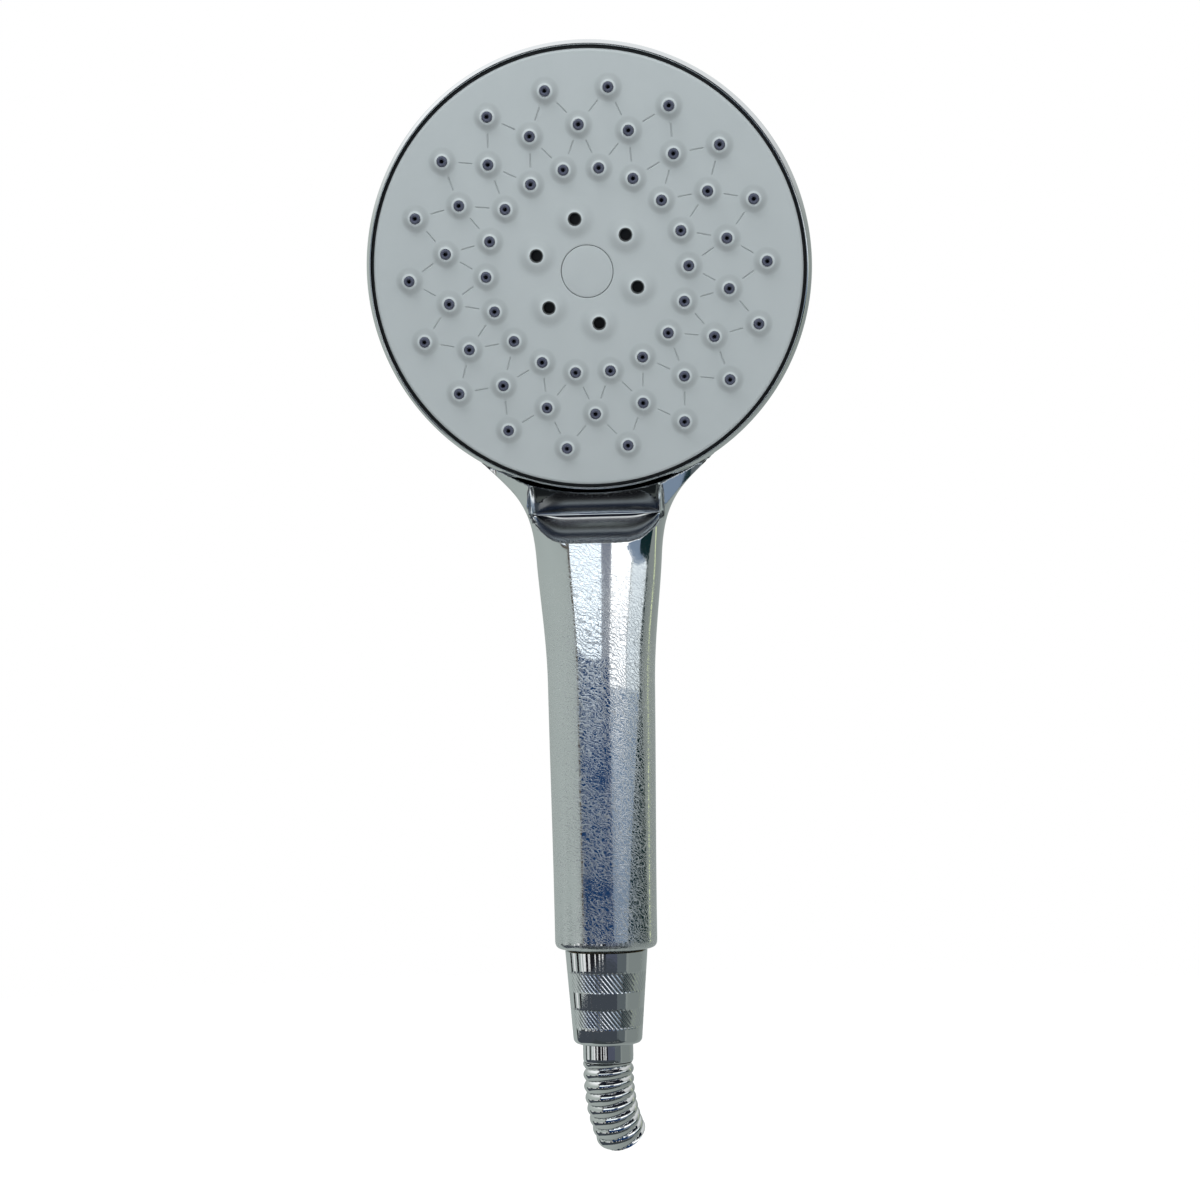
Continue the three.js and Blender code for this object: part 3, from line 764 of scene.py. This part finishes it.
def gap_shade_ring():
    """A ring that fills the gap between plate and rim, below the surface, painted near black as painted shade in
    the gap.
    """
    outer = PLATE_RADIUS + RIM_GAP - 0.08
    section = [(PLATE_RADIUS - 0.3, -8.6), (outer, -8.6), (outer, -4.4), (PLATE_RADIUS - 0.3, -4.4)]
    return turned(section, 288)


def plate_shade(points, lines):
    """Painted highlights on the lips round the nozzles, painted shade on the flares round them and on the engraved
    lines.
    """
    shade = np.zeros(len(points))
    for row in RINGS:
        for centre in places(row):
            away = np.linalg.norm(points - centre, axis=1)
            shade -= 0.20 * (smoothstep(1.9, 2.4, away) - smoothstep(3.1, 4.3, away))
            shade += 0.24 * (1 - smoothstep(1.85, 2.15, away))
    for centre in places(JETS):
        away = np.linalg.norm(points - centre, axis=1)
        shade -= 0.10 * (smoothstep(2.5, 3.2, away) - smoothstep(4.0, 6.2, away))
        shade += 0.20 * (1 - smoothstep(2.2, 2.6, away))
    for start, end in lines:
        shade -= 0.16 * (1 - smoothstep(0.12, 0.26, line_distance(points, start, end)))
    return shade


def plate_points(lines):
    """Points of the plate's outline and surface, dense where it is shaped."""
    def circle(centre, radius, count):
        angles = np.arange(count) * 2 * math.pi / count
        return centre + radius * np.stack([np.cos(angles), np.sin(angles)], axis=1)

    loops = [circle(np.zeros(2), PLATE_RADIUS, 288), circle(np.zeros(2), CAP_HOLE, 96)]
    shaped = [circle(np.zeros(2), PLATE_RADIUS - d, 288) for d in (0.15, 0.35, 0.6, 0.9)]
    shaped += [circle(np.zeros(2), CAP_HOLE + d, 96) for d in (0.1, 0.25, 0.45)]
    centres = [(c, RAIN_HOLE, RAIN_FLARE) for row in RINGS for c in places(row)]
    centres += [(c, JET_HOLE, JET_FLARE) for c in places(JETS)]
    for centre, hole, flare in centres:
        loops.append(circle(centre, hole, 28))
        for share in (0.06, 0.16, 0.3, 0.45, 0.6, 0.78, 1.0):
            shaped.append(circle(centre, hole + (flare - hole) * share, 28))
    for start, end in lines:
        along = (end - start) / np.linalg.norm(end - start)
        across = np.array([-along[1], along[0]])
        length = np.linalg.norm(end - start)
        steps = np.linspace(-0.28, length + 0.28, 14)
        for offset in (-0.28, -0.17, -0.08, 0.08, 0.17, 0.28):
            shaped.append(start + steps[:, None] * along + offset * across)
    dense = np.vstack(shaped)
    spacing = 1.5
    grid = []
    for row in range(int(2 * PLATE_RADIUS / spacing) + 1):
        y = -PLATE_RADIUS + row * spacing * 0.95
        shift = spacing / 2 if row % 2 else 0.0
        for x in np.arange(-PLATE_RADIUS + shift, PLATE_RADIUS, spacing):
            grid.append((x, y))
    grid = np.array(grid)
    keep = (np.linalg.norm(grid, axis=1) < PLATE_RADIUS - 1.4)
    keep &= np.linalg.norm(grid, axis=1) > CAP_HOLE + 1.0
    for centre, hole, flare in centres:
        keep &= np.linalg.norm(grid - centre, axis=1) > flare + 0.5
    for start, end in lines:
        keep &= line_distance(grid, start, end) > 0.7
    return loops, np.vstack([dense, grid[keep]]), centres


def plate_triangles(loops, surface, centres):
    """The plate's flat triangles, with the holes left open, all turned the same way."""
    points = np.vstack(loops + [surface])
    edges, start = [], 0
    for loop in loops:
        count = len(loop)
        edges += [(start + i, start + (i + 1) % count) for i in range(count)]
        start += count
    result = delaunay_2d_cdt([Vector(p) for p in points], edges, [], 0, 1e-5)
    flat = np.array([tuple(v) for v in result[0]])
    triangles = np.array(result[2])
    middle = flat[triangles].mean(axis=1)
    keep = np.linalg.norm(middle, axis=1) > CAP_HOLE * 0.999
    for centre, hole, _ in centres:
        keep &= np.linalg.norm(middle - centre, axis=1) > hole * 0.98
    triangles = triangles[keep]
    side_a = flat[triangles[:, 1]] - flat[triangles[:, 0]]
    side_b = flat[triangles[:, 2]] - flat[triangles[:, 0]]
    area = side_a[:, 0] * side_b[:, 1] - side_a[:, 1] * side_b[:, 0]
    triangles[area < 0] = triangles[area < 0][:, ::-1]
    return flat, triangles


def thickened(flat, triangles, top_height, bottom_height):
    """A closed plate: the triangles above and below, with walls along the open edges."""
    count = len(flat)
    top = np.column_stack([flat, top_height])
    bottom = np.column_stack([flat, np.full(count, bottom_height)])
    faces = [tuple(t) for t in triangles] + [tuple(t[::-1] + count) for t in triangles]
    edges = {edge: True for a, b, c in triangles for edge in ((a, b), (b, c), (c, a))}
    walls = [(b, a, a + count, b + count) for a, b in edges if (b, a) not in edges]
    used = np.unique(triangles)
    order = np.concatenate([used, used + count])
    number = np.full(2 * count, -1)
    number[order] = np.arange(len(order))
    all_faces = [tuple(int(number[i]) for i in f) for f in faces + walls]
    return np.vstack([top, bottom])[order], all_faces


def make_plate(materials):
    lines = link_lines()
    flat, triangles = plate_triangles(*plate_points(lines))
    plate = thickened(flat, triangles, plate_height(flat, lines), PLATE_BOTTOM)
    gap_ring = gap_shade_ring()
    # The ring in the gap is painted near black: painted shade.
    shade = np.concatenate([plate_shade(plate[0][:, :2], lines), np.full(len(gap_ring[0]), DEEP_PAINTED_SHADE)])
    points, faces = joined([plate, gap_ring])
    add_piece("spray_plate", to_world(points), faces, "face", materials["face"],
              ("spray_face",), sharp=40, shade=shade)


def make_cap(materials):
    top = FACE_TOP + 0.02
    radius = CAP_RADIUS - 0.02
    edge = 0.35
    angles = np.linspace(math.pi / 2, 0, 7)
    arc = [(radius - edge + edge * math.sin(a), top - edge + edge * math.cos(a)) for a in angles]
    outline = [(0, top - 1.1), (radius, top - 1.1)] + arc + [(radius * 0.5, top + 0.04), (0, top + 0.05)]
    points, faces = turned_solid(outline, 96)
    add_piece("centre_cap", to_world(points), faces, "face", materials["face"],
              ("face_cap",), sharp=40)


def make_nozzles(materials):
    """The silicone mat: a ring-shaped sheet with a soft tip through each rain hole."""
    base = rounded([(20.4, -6.1), (57.6, -6.1), (57.6, -4.5), (20.4, -4.5)], 0.3, 3)
    parts = [turned(base, 144)]
    tip = [(0.5, -4.9), (1.47, -4.9), (1.45, -1.3), (1.15, -0.72), (0.72, -0.8), (0.5, -1.25)]
    section = rounded(tip, [0, 0, 0.5, 0.45, 0.3, 0.3], 4)
    for row in RINGS:
        for centre in places(row):
            parts.append(turned(section, 26, centre))
    points, faces = joined(parts)
    add_piece("nozzle_tips", to_world(points), faces, "face", materials["silicone"],
                     ("nozzle_mat",), sharp=45)


def make_jets(materials):
    """Open jets: a thin darkened lip round a throat painted near black, as painted shade down the holes."""
    base = rounded([(5.7, -6.1), (20.0, -6.1), (20.0, -4.5), (5.7, -4.5)], 0.3, 3)
    parts = [turned(base, 96)]
    lip = [(1.6, -4.6), (1.9, -4.6), (1.9, -1.5), (1.6, -1.5)]
    for centre in places(JETS):
        parts.append(turned(lip, 32, centre))
    points, faces = joined(parts)
    shade = np.zeros(len(points))
    # Painted shade: the lips are darkened, and the throats and the hidden base ring painted near black.
    for centre in places(JETS):
        away = np.linalg.norm(points[:, :2] - centre, axis=1)
        shade = np.where(away < 3, np.where(points[:, 2] < -2.5, DEEP_PAINTED_SHADE, -0.8), shade)
    shade = np.where(shade < 0, shade, DEEP_PAINTED_SHADE)
    add_piece("jet_tips", to_world(points), faces, "face", materials["face"],
                     ("jet_insert",), sharp=45, shade=shade)


# ---- hose nut, ferrule and hose ------------------------------------------------------------
KNURL_BANDS = ((2.0, 7.4), (-8.0, -2.9))
KNURL_COUNT = 54
KNURL_DEPTH = 0.15
KNURL_LEAN = math.tan(math.radians(39))
NUT_LIP = 0.45


def make_nut(materials):
    """A conical nut with two bands of slanting cuts."""
    half = nut_high[2]
    top = half + NUT_LIP
    rows = [-half, -half + 0.25, -half + 0.6, -half + 1.0, -half + 1.5]
    rows += list(np.arange(-half + 2.2, half - 0.8, 0.7))
    for low, high in KNURL_BANDS:
        rows += list(np.linspace(low - 0.15, high + 0.15, 30))
    rows += [half - 0.7, half - 0.45, half - 0.3, half - 0.15, half, top]
    rows = np.unique(np.round(rows, 3))
    angles = np.arange(KNURL_COUNT * 10) * 2 * math.pi / (KNURL_COUNT * 10)
    share = (rows + half) / (2 * half)
    radius = NUT_BOTTOM_RADIUS + (NUT_TOP_RADIUS - NUT_BOTTOM_RADIUS) * share
    corner = 1.3
    below = np.clip((corner - (rows + half)) / corner, 0, 1)
    radius = radius - corner * (1 - np.sqrt(1 - below ** 2))
    bevel = 0.4
    above = np.clip((bevel - (top - rows)) / bevel, 0, 1)
    radius = radius - bevel * above ** 1.5
    cut = np.zeros((len(angles), len(rows)))
    for low, high in KNURL_BANDS:
        inside = smoothstep(low - 0.1, low + 0.12, rows)
        inside = inside * (1 - smoothstep(high - 0.12, high + 0.1, rows))
        turn = angles[:, None] + (rows[None, :] - low) * KNURL_LEAN / radius[None, :]
        wave = np.abs(((turn * KNURL_COUNT / (2 * math.pi)) % 1.0) - 0.5) * 2
        cut += inside * (1 - smoothstep(0.15, 0.75, wave))
    outer = radius[None, :] - KNURL_DEPTH * cut
    bore_rows = np.array([top, -1.8, -1.8, -half])
    bore_radius = np.array([9.95, 9.95, 7.5, 7.5])
    inner = np.broadcast_to(bore_radius, (len(angles), 4))
    all_radius = np.concatenate([outer, inner], axis=1)
    heights = np.concatenate([rows, bore_rows])
    points = np.stack([
        all_radius * np.cos(angles)[:, None],
        all_radius * np.sin(angles)[:, None],
        np.broadcast_to(heights, all_radius.shape),
    ], axis=-1).reshape(-1, 3)
    faces = wrapped_faces(*all_radius.shape)
    add_piece("conical_nut", points, faces, "handle", materials["chrome_brass"],
                     ("hose_nut",), sharp=42)


def make_ferrule(materials):
    low, high, radius = ferrule_low[2], ferrule_high[2], FERRULE_RADIUS
    outline = [(5.7, low), (radius - 0.1, low), (radius + 0.02, low + 1.0), (radius, high), (5.7, high)]
    section = rounded(outline, [0.1, 0.45, 0.5, 0.2, 0.1], 5)
    points, faces = turned(section, 128)
    add_piece("crimp_ferrule", points, faces, "hose", materials["chrome_brass"],
                     ("hose_ferrule",), sharp=45)


HOSE_BEND_TOP = -21.0
HOSE_BEND_RADIUS = 30.0
HOSE_BEND = math.radians(38)
HOSE_HEADING = math.radians(61)
HOSE_PITCH = 3.0


def hose_frame(distance, top):
    """Point and two cross directions at a distance down the hose from height top."""
    straight = top - HOSE_BEND_TOP
    heading = np.array([math.cos(HOSE_HEADING), math.sin(HOSE_HEADING), 0.0])
    sideways = np.array([math.sin(HOSE_HEADING), -math.cos(HOSE_HEADING), 0.0])
    if distance < straight:
        return np.array([0, 0, top - distance]), heading, sideways
    turn = (distance - straight) / HOSE_BEND_RADIUS
    out = HOSE_BEND_RADIUS * (1 - math.cos(turn))
    point = heading * out + np.array([0, 0, HOSE_BEND_TOP - HOSE_BEND_RADIUS * math.sin(turn)])
    across = heading * math.cos(turn) + np.array([0, 0, math.sin(turn)])
    return point, across, sideways


def tube_mesh(top, outer_of, inner_radius, rows, sides):
    """A pipe along the hose: outer_of(distance, angles) gives its outer radius."""
    length = top - HOSE_BEND_TOP + HOSE_BEND_RADIUS * HOSE_BEND
    distances = np.linspace(0, length, rows)
    angles = np.arange(sides) * 2 * math.pi / sides
    outer, inner = [], []
    for distance in distances:
        point, first, second = hose_frame(distance, top)
        direction = np.cos(angles)[:, None] * first + np.sin(angles)[:, None] * second
        outer.append(point + direction * outer_of(distance, angles)[:, None])
        inner.append(point + direction * inner_radius)
    grid = np.array(outer + inner[::-1]).transpose(1, 0, 2)
    return grid.reshape(-1, 3), wrapped_faces(*grid.shape[:2])


def make_hose(materials):
    def ridge(distance, angles):
        phase = (distance / HOSE_PITCH - angles / (2 * math.pi)) % 1.0
        bulge = np.sin(math.pi * phase)
        return HOSE_RADIUS - 0.85 + 0.85 * bulge ** 0.8

    def smooth(distance, angles):
        return np.full(len(angles), 5.1)

    top = ferrule_low[2] - 0.1
    points, faces = tube_mesh(top, ridge, 5.9, 190, 112)
    add_piece("wound_hose", points, faces, "hose", materials["hose_steel"],
              ("hose_spiral",), sharp=60)
    liner_top = node_box("hose_liner")[1][2]
    points, faces = tube_mesh(liner_top, smooth, 3.7, 60, 64)
    add_piece("inner_hose", points, faces, "hose", materials["liner"],
              ("hose_liner",), sharp=45)
    low, high = node_box("hose_end_bush")
    outline = [(5.2, low[2]), (5.8, low[2]), (5.8, high[2]), (5.2, high[2])]
    points, faces = turned(rounded(outline, 0.2, 3), 96)
    add_piece("hose_bush", points, faces, "hose", materials["black_plastic"],
              ("hose_end_bush",), sharp=45)


# ---- finishes of the CAD parts that stay ---------------------------------------------------
def finish_cad_parts(materials):
    slots = {row["node"]: row["material_slot"] for row in frame["record"]["subparts"]}
    for name, node in frame["nodes"].items():
        node.data.materials.clear()
        node.data.materials.append(materials[slots[name]])
        node.data.polygons.foreach_set("use_smooth", [True] * len(node.data.polygons))
        node.data.set_sharp_from_angle(angle=math.radians(35))


# ---- studio --------------------------------------------------------------------------------
def flat_colour(name, colour, strength):
    material = bpy.data.materials.new(name)
    material.use_nodes = True
    tree = material.node_tree
    tree.nodes.clear()
    emission = tree.nodes.new("ShaderNodeEmission")
    emission.inputs["Color"].default_value = (*colour, 1)
    emission.inputs["Strength"].default_value = strength
    output = tree.nodes.new("ShaderNodeOutputMaterial")
    tree.links.new(emission.outputs[0], output.inputs[0])
    return material


def curtain(name, from_angle, to_angle, low, high, colour, strength=1.0, lean=(0.0, 0.0), radius=0.62):
    """An upright curved card round the handle, seen only in reflections.

    Angles are in degrees from the front, growing to the right; heights are in metres.
    lean says how many degrees further right than their feet the tops of the left and
    the right edge stand.
    """
    steps = max(int(abs(to_angle - from_angle) / 4), 2)
    points, faces = [], []
    for i in range(steps + 1):
        top_shift = lean[0] + (lean[1] - lean[0]) * i / steps
        for height, shift in ((low, 0.0), (high, top_shift)):
            angle = math.radians(from_angle + shift + (to_angle - from_angle) * i / steps)
            points.append((radius * math.sin(angle), -radius * math.cos(angle), height))
    for i in range(steps):
        faces.append((2 * i, 2 * i + 1, 2 * i + 3, 2 * i + 2))
    stage_card(name, points, faces, flat_colour(name, colour, strength))


def stage_card(name, points, faces, material):
    mesh = bpy.data.meshes.new(name)
    mesh.from_pydata(points, [], faces)
    mesh.materials.append(material)
    card = bpy.data.objects.new(name, mesh)
    bpy.context.scene.collection.objects.link(card)
    card.visible_camera = False
    card.visible_diffuse = False
    card.visible_shadow = False
    card.visible_transmission = False


def flat_card(name, x_range, y_range, level, colour, strength=1.0):
    """A level card seen only in reflections."""
    points = [
        (x_range[0], y_range[0], level),
        (x_range[1], y_range[0], level),
        (x_range[1], y_range[1], level),
        (x_range[0], y_range[1], level),
    ]
    stage_card(name, points, [(0, 1, 2, 3)], flat_colour(name, colour, strength))


def make_floor():
    size, level = 8.0, cad_bounds[0][2] - 0.03
    mesh = bpy.data.meshes.new("floor")
    corners = [(-size, -size, level), (size, -size, level), (size, size, level), (-size, size, level)]
    mesh.from_pydata(corners, [], [(0, 1, 2, 3)])
    floor = bpy.data.objects.new("floor", mesh)
    bpy.context.scene.collection.objects.link(floor)
    m = Material("pale_floor")
    m.set(Roughness=0.9, Specular_IOR_Level=0.0)
    m.link(m.mixed(m.noise(3, 2), (0.94, 0.94, 0.94), (0.95, 0.95, 0.95)), m.shader, "Base Color")
    # The floor fades out with distance, so no horizon shows.
    reach = m.node("ShaderNodeVectorMath", operation="LENGTH")
    m.link(m.place, reach, "Vector")
    clear = m.node("ShaderNodeBsdfTransparent")
    fade = m.node("ShaderNodeMixShader")
    m.link(m.ramp(reach.outputs["Value"], 0.12, 0.75), fade, "Fac")
    m.link(m.shader.outputs[0], fade, 1)
    m.link(clear.outputs[0], fade, 2)
    m.link(fade.outputs[0], m.tree.nodes["Material Output"], "Surface")
    mesh.materials.append(m.material)
    floor.visible_glossy = False


def background(tree, colour, strength=1.0):
    node = tree.nodes.new("ShaderNodeBackground")
    node.inputs["Color"].default_value = (*colour, 1)
    node.inputs["Strength"].default_value = strength
    return node


def reflected_sky(tree):
    """A sky for reflections: grey-green low down, white high up, brighter on the left."""
    place = tree.nodes.new("ShaderNodeTexCoord")
    axes = tree.nodes.new("ShaderNodeSeparateXYZ")
    tree.links.new(place.outputs["Generated"], axes.inputs[0])
    ramp = tree.nodes.new("ShaderNodeValToRGB")
    tree.links.new(axes.outputs["Z"], ramp.inputs["Fac"])
    stops = ((0.0, (0.36, 0.40, 0.385)), (0.30, (0.42, 0.46, 0.44)), (0.62, (0.95, 0.97, 0.98)))
    while len(ramp.color_ramp.elements) < len(stops):
        ramp.color_ramp.elements.new(0.5)
    for element, (height, colour) in zip(ramp.color_ramp.elements, stops):
        element.position = height
        element.color = (*colour, 1)
    side = tree.nodes.new("ShaderNodeMath")
    side.operation = "MULTIPLY_ADD"
    side.inputs[1].default_value = -0.25
    side.inputs[2].default_value = 0.97
    tree.links.new(axes.outputs["X"], side.inputs[0])
    sky = background(tree, (1.0, 1.0, 1.0))
    tree.links.new(ramp.outputs["Color"], sky.inputs["Color"])
    tree.links.new(side.outputs[0], sky.inputs["Strength"])
    return sky


def make_world():
    """White where the camera looks, a sky in the reflections and a soft light on the rest."""
    world = bpy.data.worlds.new("studio")
    bpy.context.scene.world = world
    world.use_nodes = True
    tree = world.node_tree
    tree.nodes.clear()
    path = tree.nodes.new("ShaderNodeLightPath")
    shader = background(tree, (1.0, 1.0, 1.0))
    layers = (
        ("Is Glossy Ray", reflected_sky(tree)),
        ("Is Diffuse Ray", background(tree, (0.97, 0.99, 1.0), 0.5)),
    )
    for ray, layer in layers:
        mix = tree.nodes.new("ShaderNodeMixShader")
        tree.links.new(path.outputs[ray], mix.inputs[0])
        tree.links.new(shader.outputs[0], mix.inputs[1])
        tree.links.new(layer.outputs[0], mix.inputs[2])
        shader = mix
    output = tree.nodes.new("ShaderNodeOutputWorld")
    tree.links.new(shader.outputs[0], output.inputs[0])


def area_light(name, centre, size, power, towards=(0, 0, 0.15)):
    data = bpy.data.lights.new(name, "AREA")
    data.shape = "RECTANGLE"
    data.size, data.size_y = size
    data.energy = power
    light = bpy.data.objects.new(name, data)
    bpy.context.scene.collection.objects.link(light)
    direction = Vector(towards) - Vector(centre)
    turn = direction.to_track_quat("-Z", "Y").to_matrix().to_4x4()
    light.matrix_world = Matrix.Translation(centre) @ turn
    light.visible_glossy = False


# Curtain heights, in metres: foot of the bars, foot and top of the room, top of the window.
BARS_LOW = -0.15
ROOM_LOW = -0.075
ROOM_HIGH = 0.116
WINDOW_LOW = 0.096
WINDOW_HIGH = 0.215
DEEP = -0.45
WHITE = (1.0, 1.0, 1.0)
BLACK = (0.012, 0.012, 0.014)
NAVY = (0.012, 0.045, 0.13)
DARK = (0.012, 0.014, 0.022)


def make_front_curtains():
    """In front and low the dark room, above it the bright window with its bar."""
    curtain("room", -46, 21, ROOM_LOW, ROOM_HIGH, NAVY)
    curtain("room_edge", -50, -46, DEEP, 0.6, (0.10, 0.085, 0.07))
    curtain("floor_light", 21, 96, ROOM_LOW, WINDOW_LOW, (0.22, 0.29, 0.39), radius=0.63)
    curtain("doorway", 44, 117, ROOM_LOW, 0.112, (0.006, 0.022, 0.025), lean=(50, -20))
    curtain("window_left", -46, 5, ROOM_HIGH, WINDOW_HIGH, (0.86, 0.94, 1.0), 1.6)
    curtain("window_bar", 5, 21, ROOM_HIGH, WINDOW_HIGH, (0.34, 0.36, 0.40))
    curtain("window_right", 21, 56, WINDOW_LOW, WINDOW_HIGH, WHITE, 1.7)
    curtain("window_side", 58, 92, WINDOW_LOW, WINDOW_HIGH, (0.90, 0.97, 1.0), 1.1)
    curtain("lamp", 119, 122, DEEP, 0.3, (0.85, 0.95, 0.55))
    curtain("upper_room", -60, 76, 0.29, 0.75, DARK)
    flat_card("upper_front", (-0.6, 0.6), (-0.62, -0.10), 0.85, DARK)


def make_low_curtains():
    """Low down, where the nut's cone looks: bars of light and dark, then plain dark walls."""
    bars = (
        (-120, -112, BLACK), (-104, -98, WHITE), (-90, -82, BLACK), (-74, -70, WHITE),
        (-66, -58, WHITE), (-58, -50, BLACK), (-50, -44, WHITE), (-44, -30, BLACK),
        (-30, -27, WHITE), (-27, -18, BLACK), (-18, -14, WHITE), (-14, -9, BLACK),
        (-9, -5, WHITE), (-5, 2, BLACK),
    )
    for number, (start, end, colour) in enumerate(bars):
        curtain(f"bar_{number}", start, end, BARS_LOW, ROOM_LOW, colour, 0.9)
    curtain("below_bars", -120, 34, DEEP, BARS_LOW, (0.06, 0.07, 0.085))
    curtain("low_wall", 2, 34, BARS_LOW, ROOM_LOW, (0.09, 0.10, 0.14))
    curtain("low_side", 70, 125, DEEP, ROOM_LOW, (0.24, 0.27, 0.26))
    curtain("low_corner", 34, 62, DEEP, ROOM_LOW, (0.12, 0.14, 0.15))


def make_studio():
    make_floor()
    make_world()
    area_light("key", (-0.12, -0.36, 0.70), (0.6, 0.3), 3.8)
    area_light("fill", (0.9, -0.6, 0.5), (0.8, 0.8), 2.5)
    area_light("top_back", (0.0, 0.6, 1.2), (1.2, 1.2), 9.0, (0.0, 0.1, -0.07))
    make_front_curtains()
    make_low_curtains()
    # Under the head: what the scoop's wall and the rim look down on.
    bottom = cad_bounds[0][2]
    flat_card("dark_below", (-0.13, 0.13), (-0.17, -0.05), bottom - 0.028, (0.05, 0.06, 0.065))
    flat_card("pale_strip", (-0.005, 0.10), (-0.123, -0.120), bottom - 0.026, WHITE, 1.1)


def main():
    make_camera()
    materials = make_materials()
    finish_cad_parts(materials)
    make_body(materials)
    make_rim(materials)
    make_plate(materials)
    make_cap(materials)
    make_nozzles(materials)
    make_jets(materials)
    make_nut(materials)
    make_ferrule(materials)
    make_hose(materials)
    make_studio()


main()
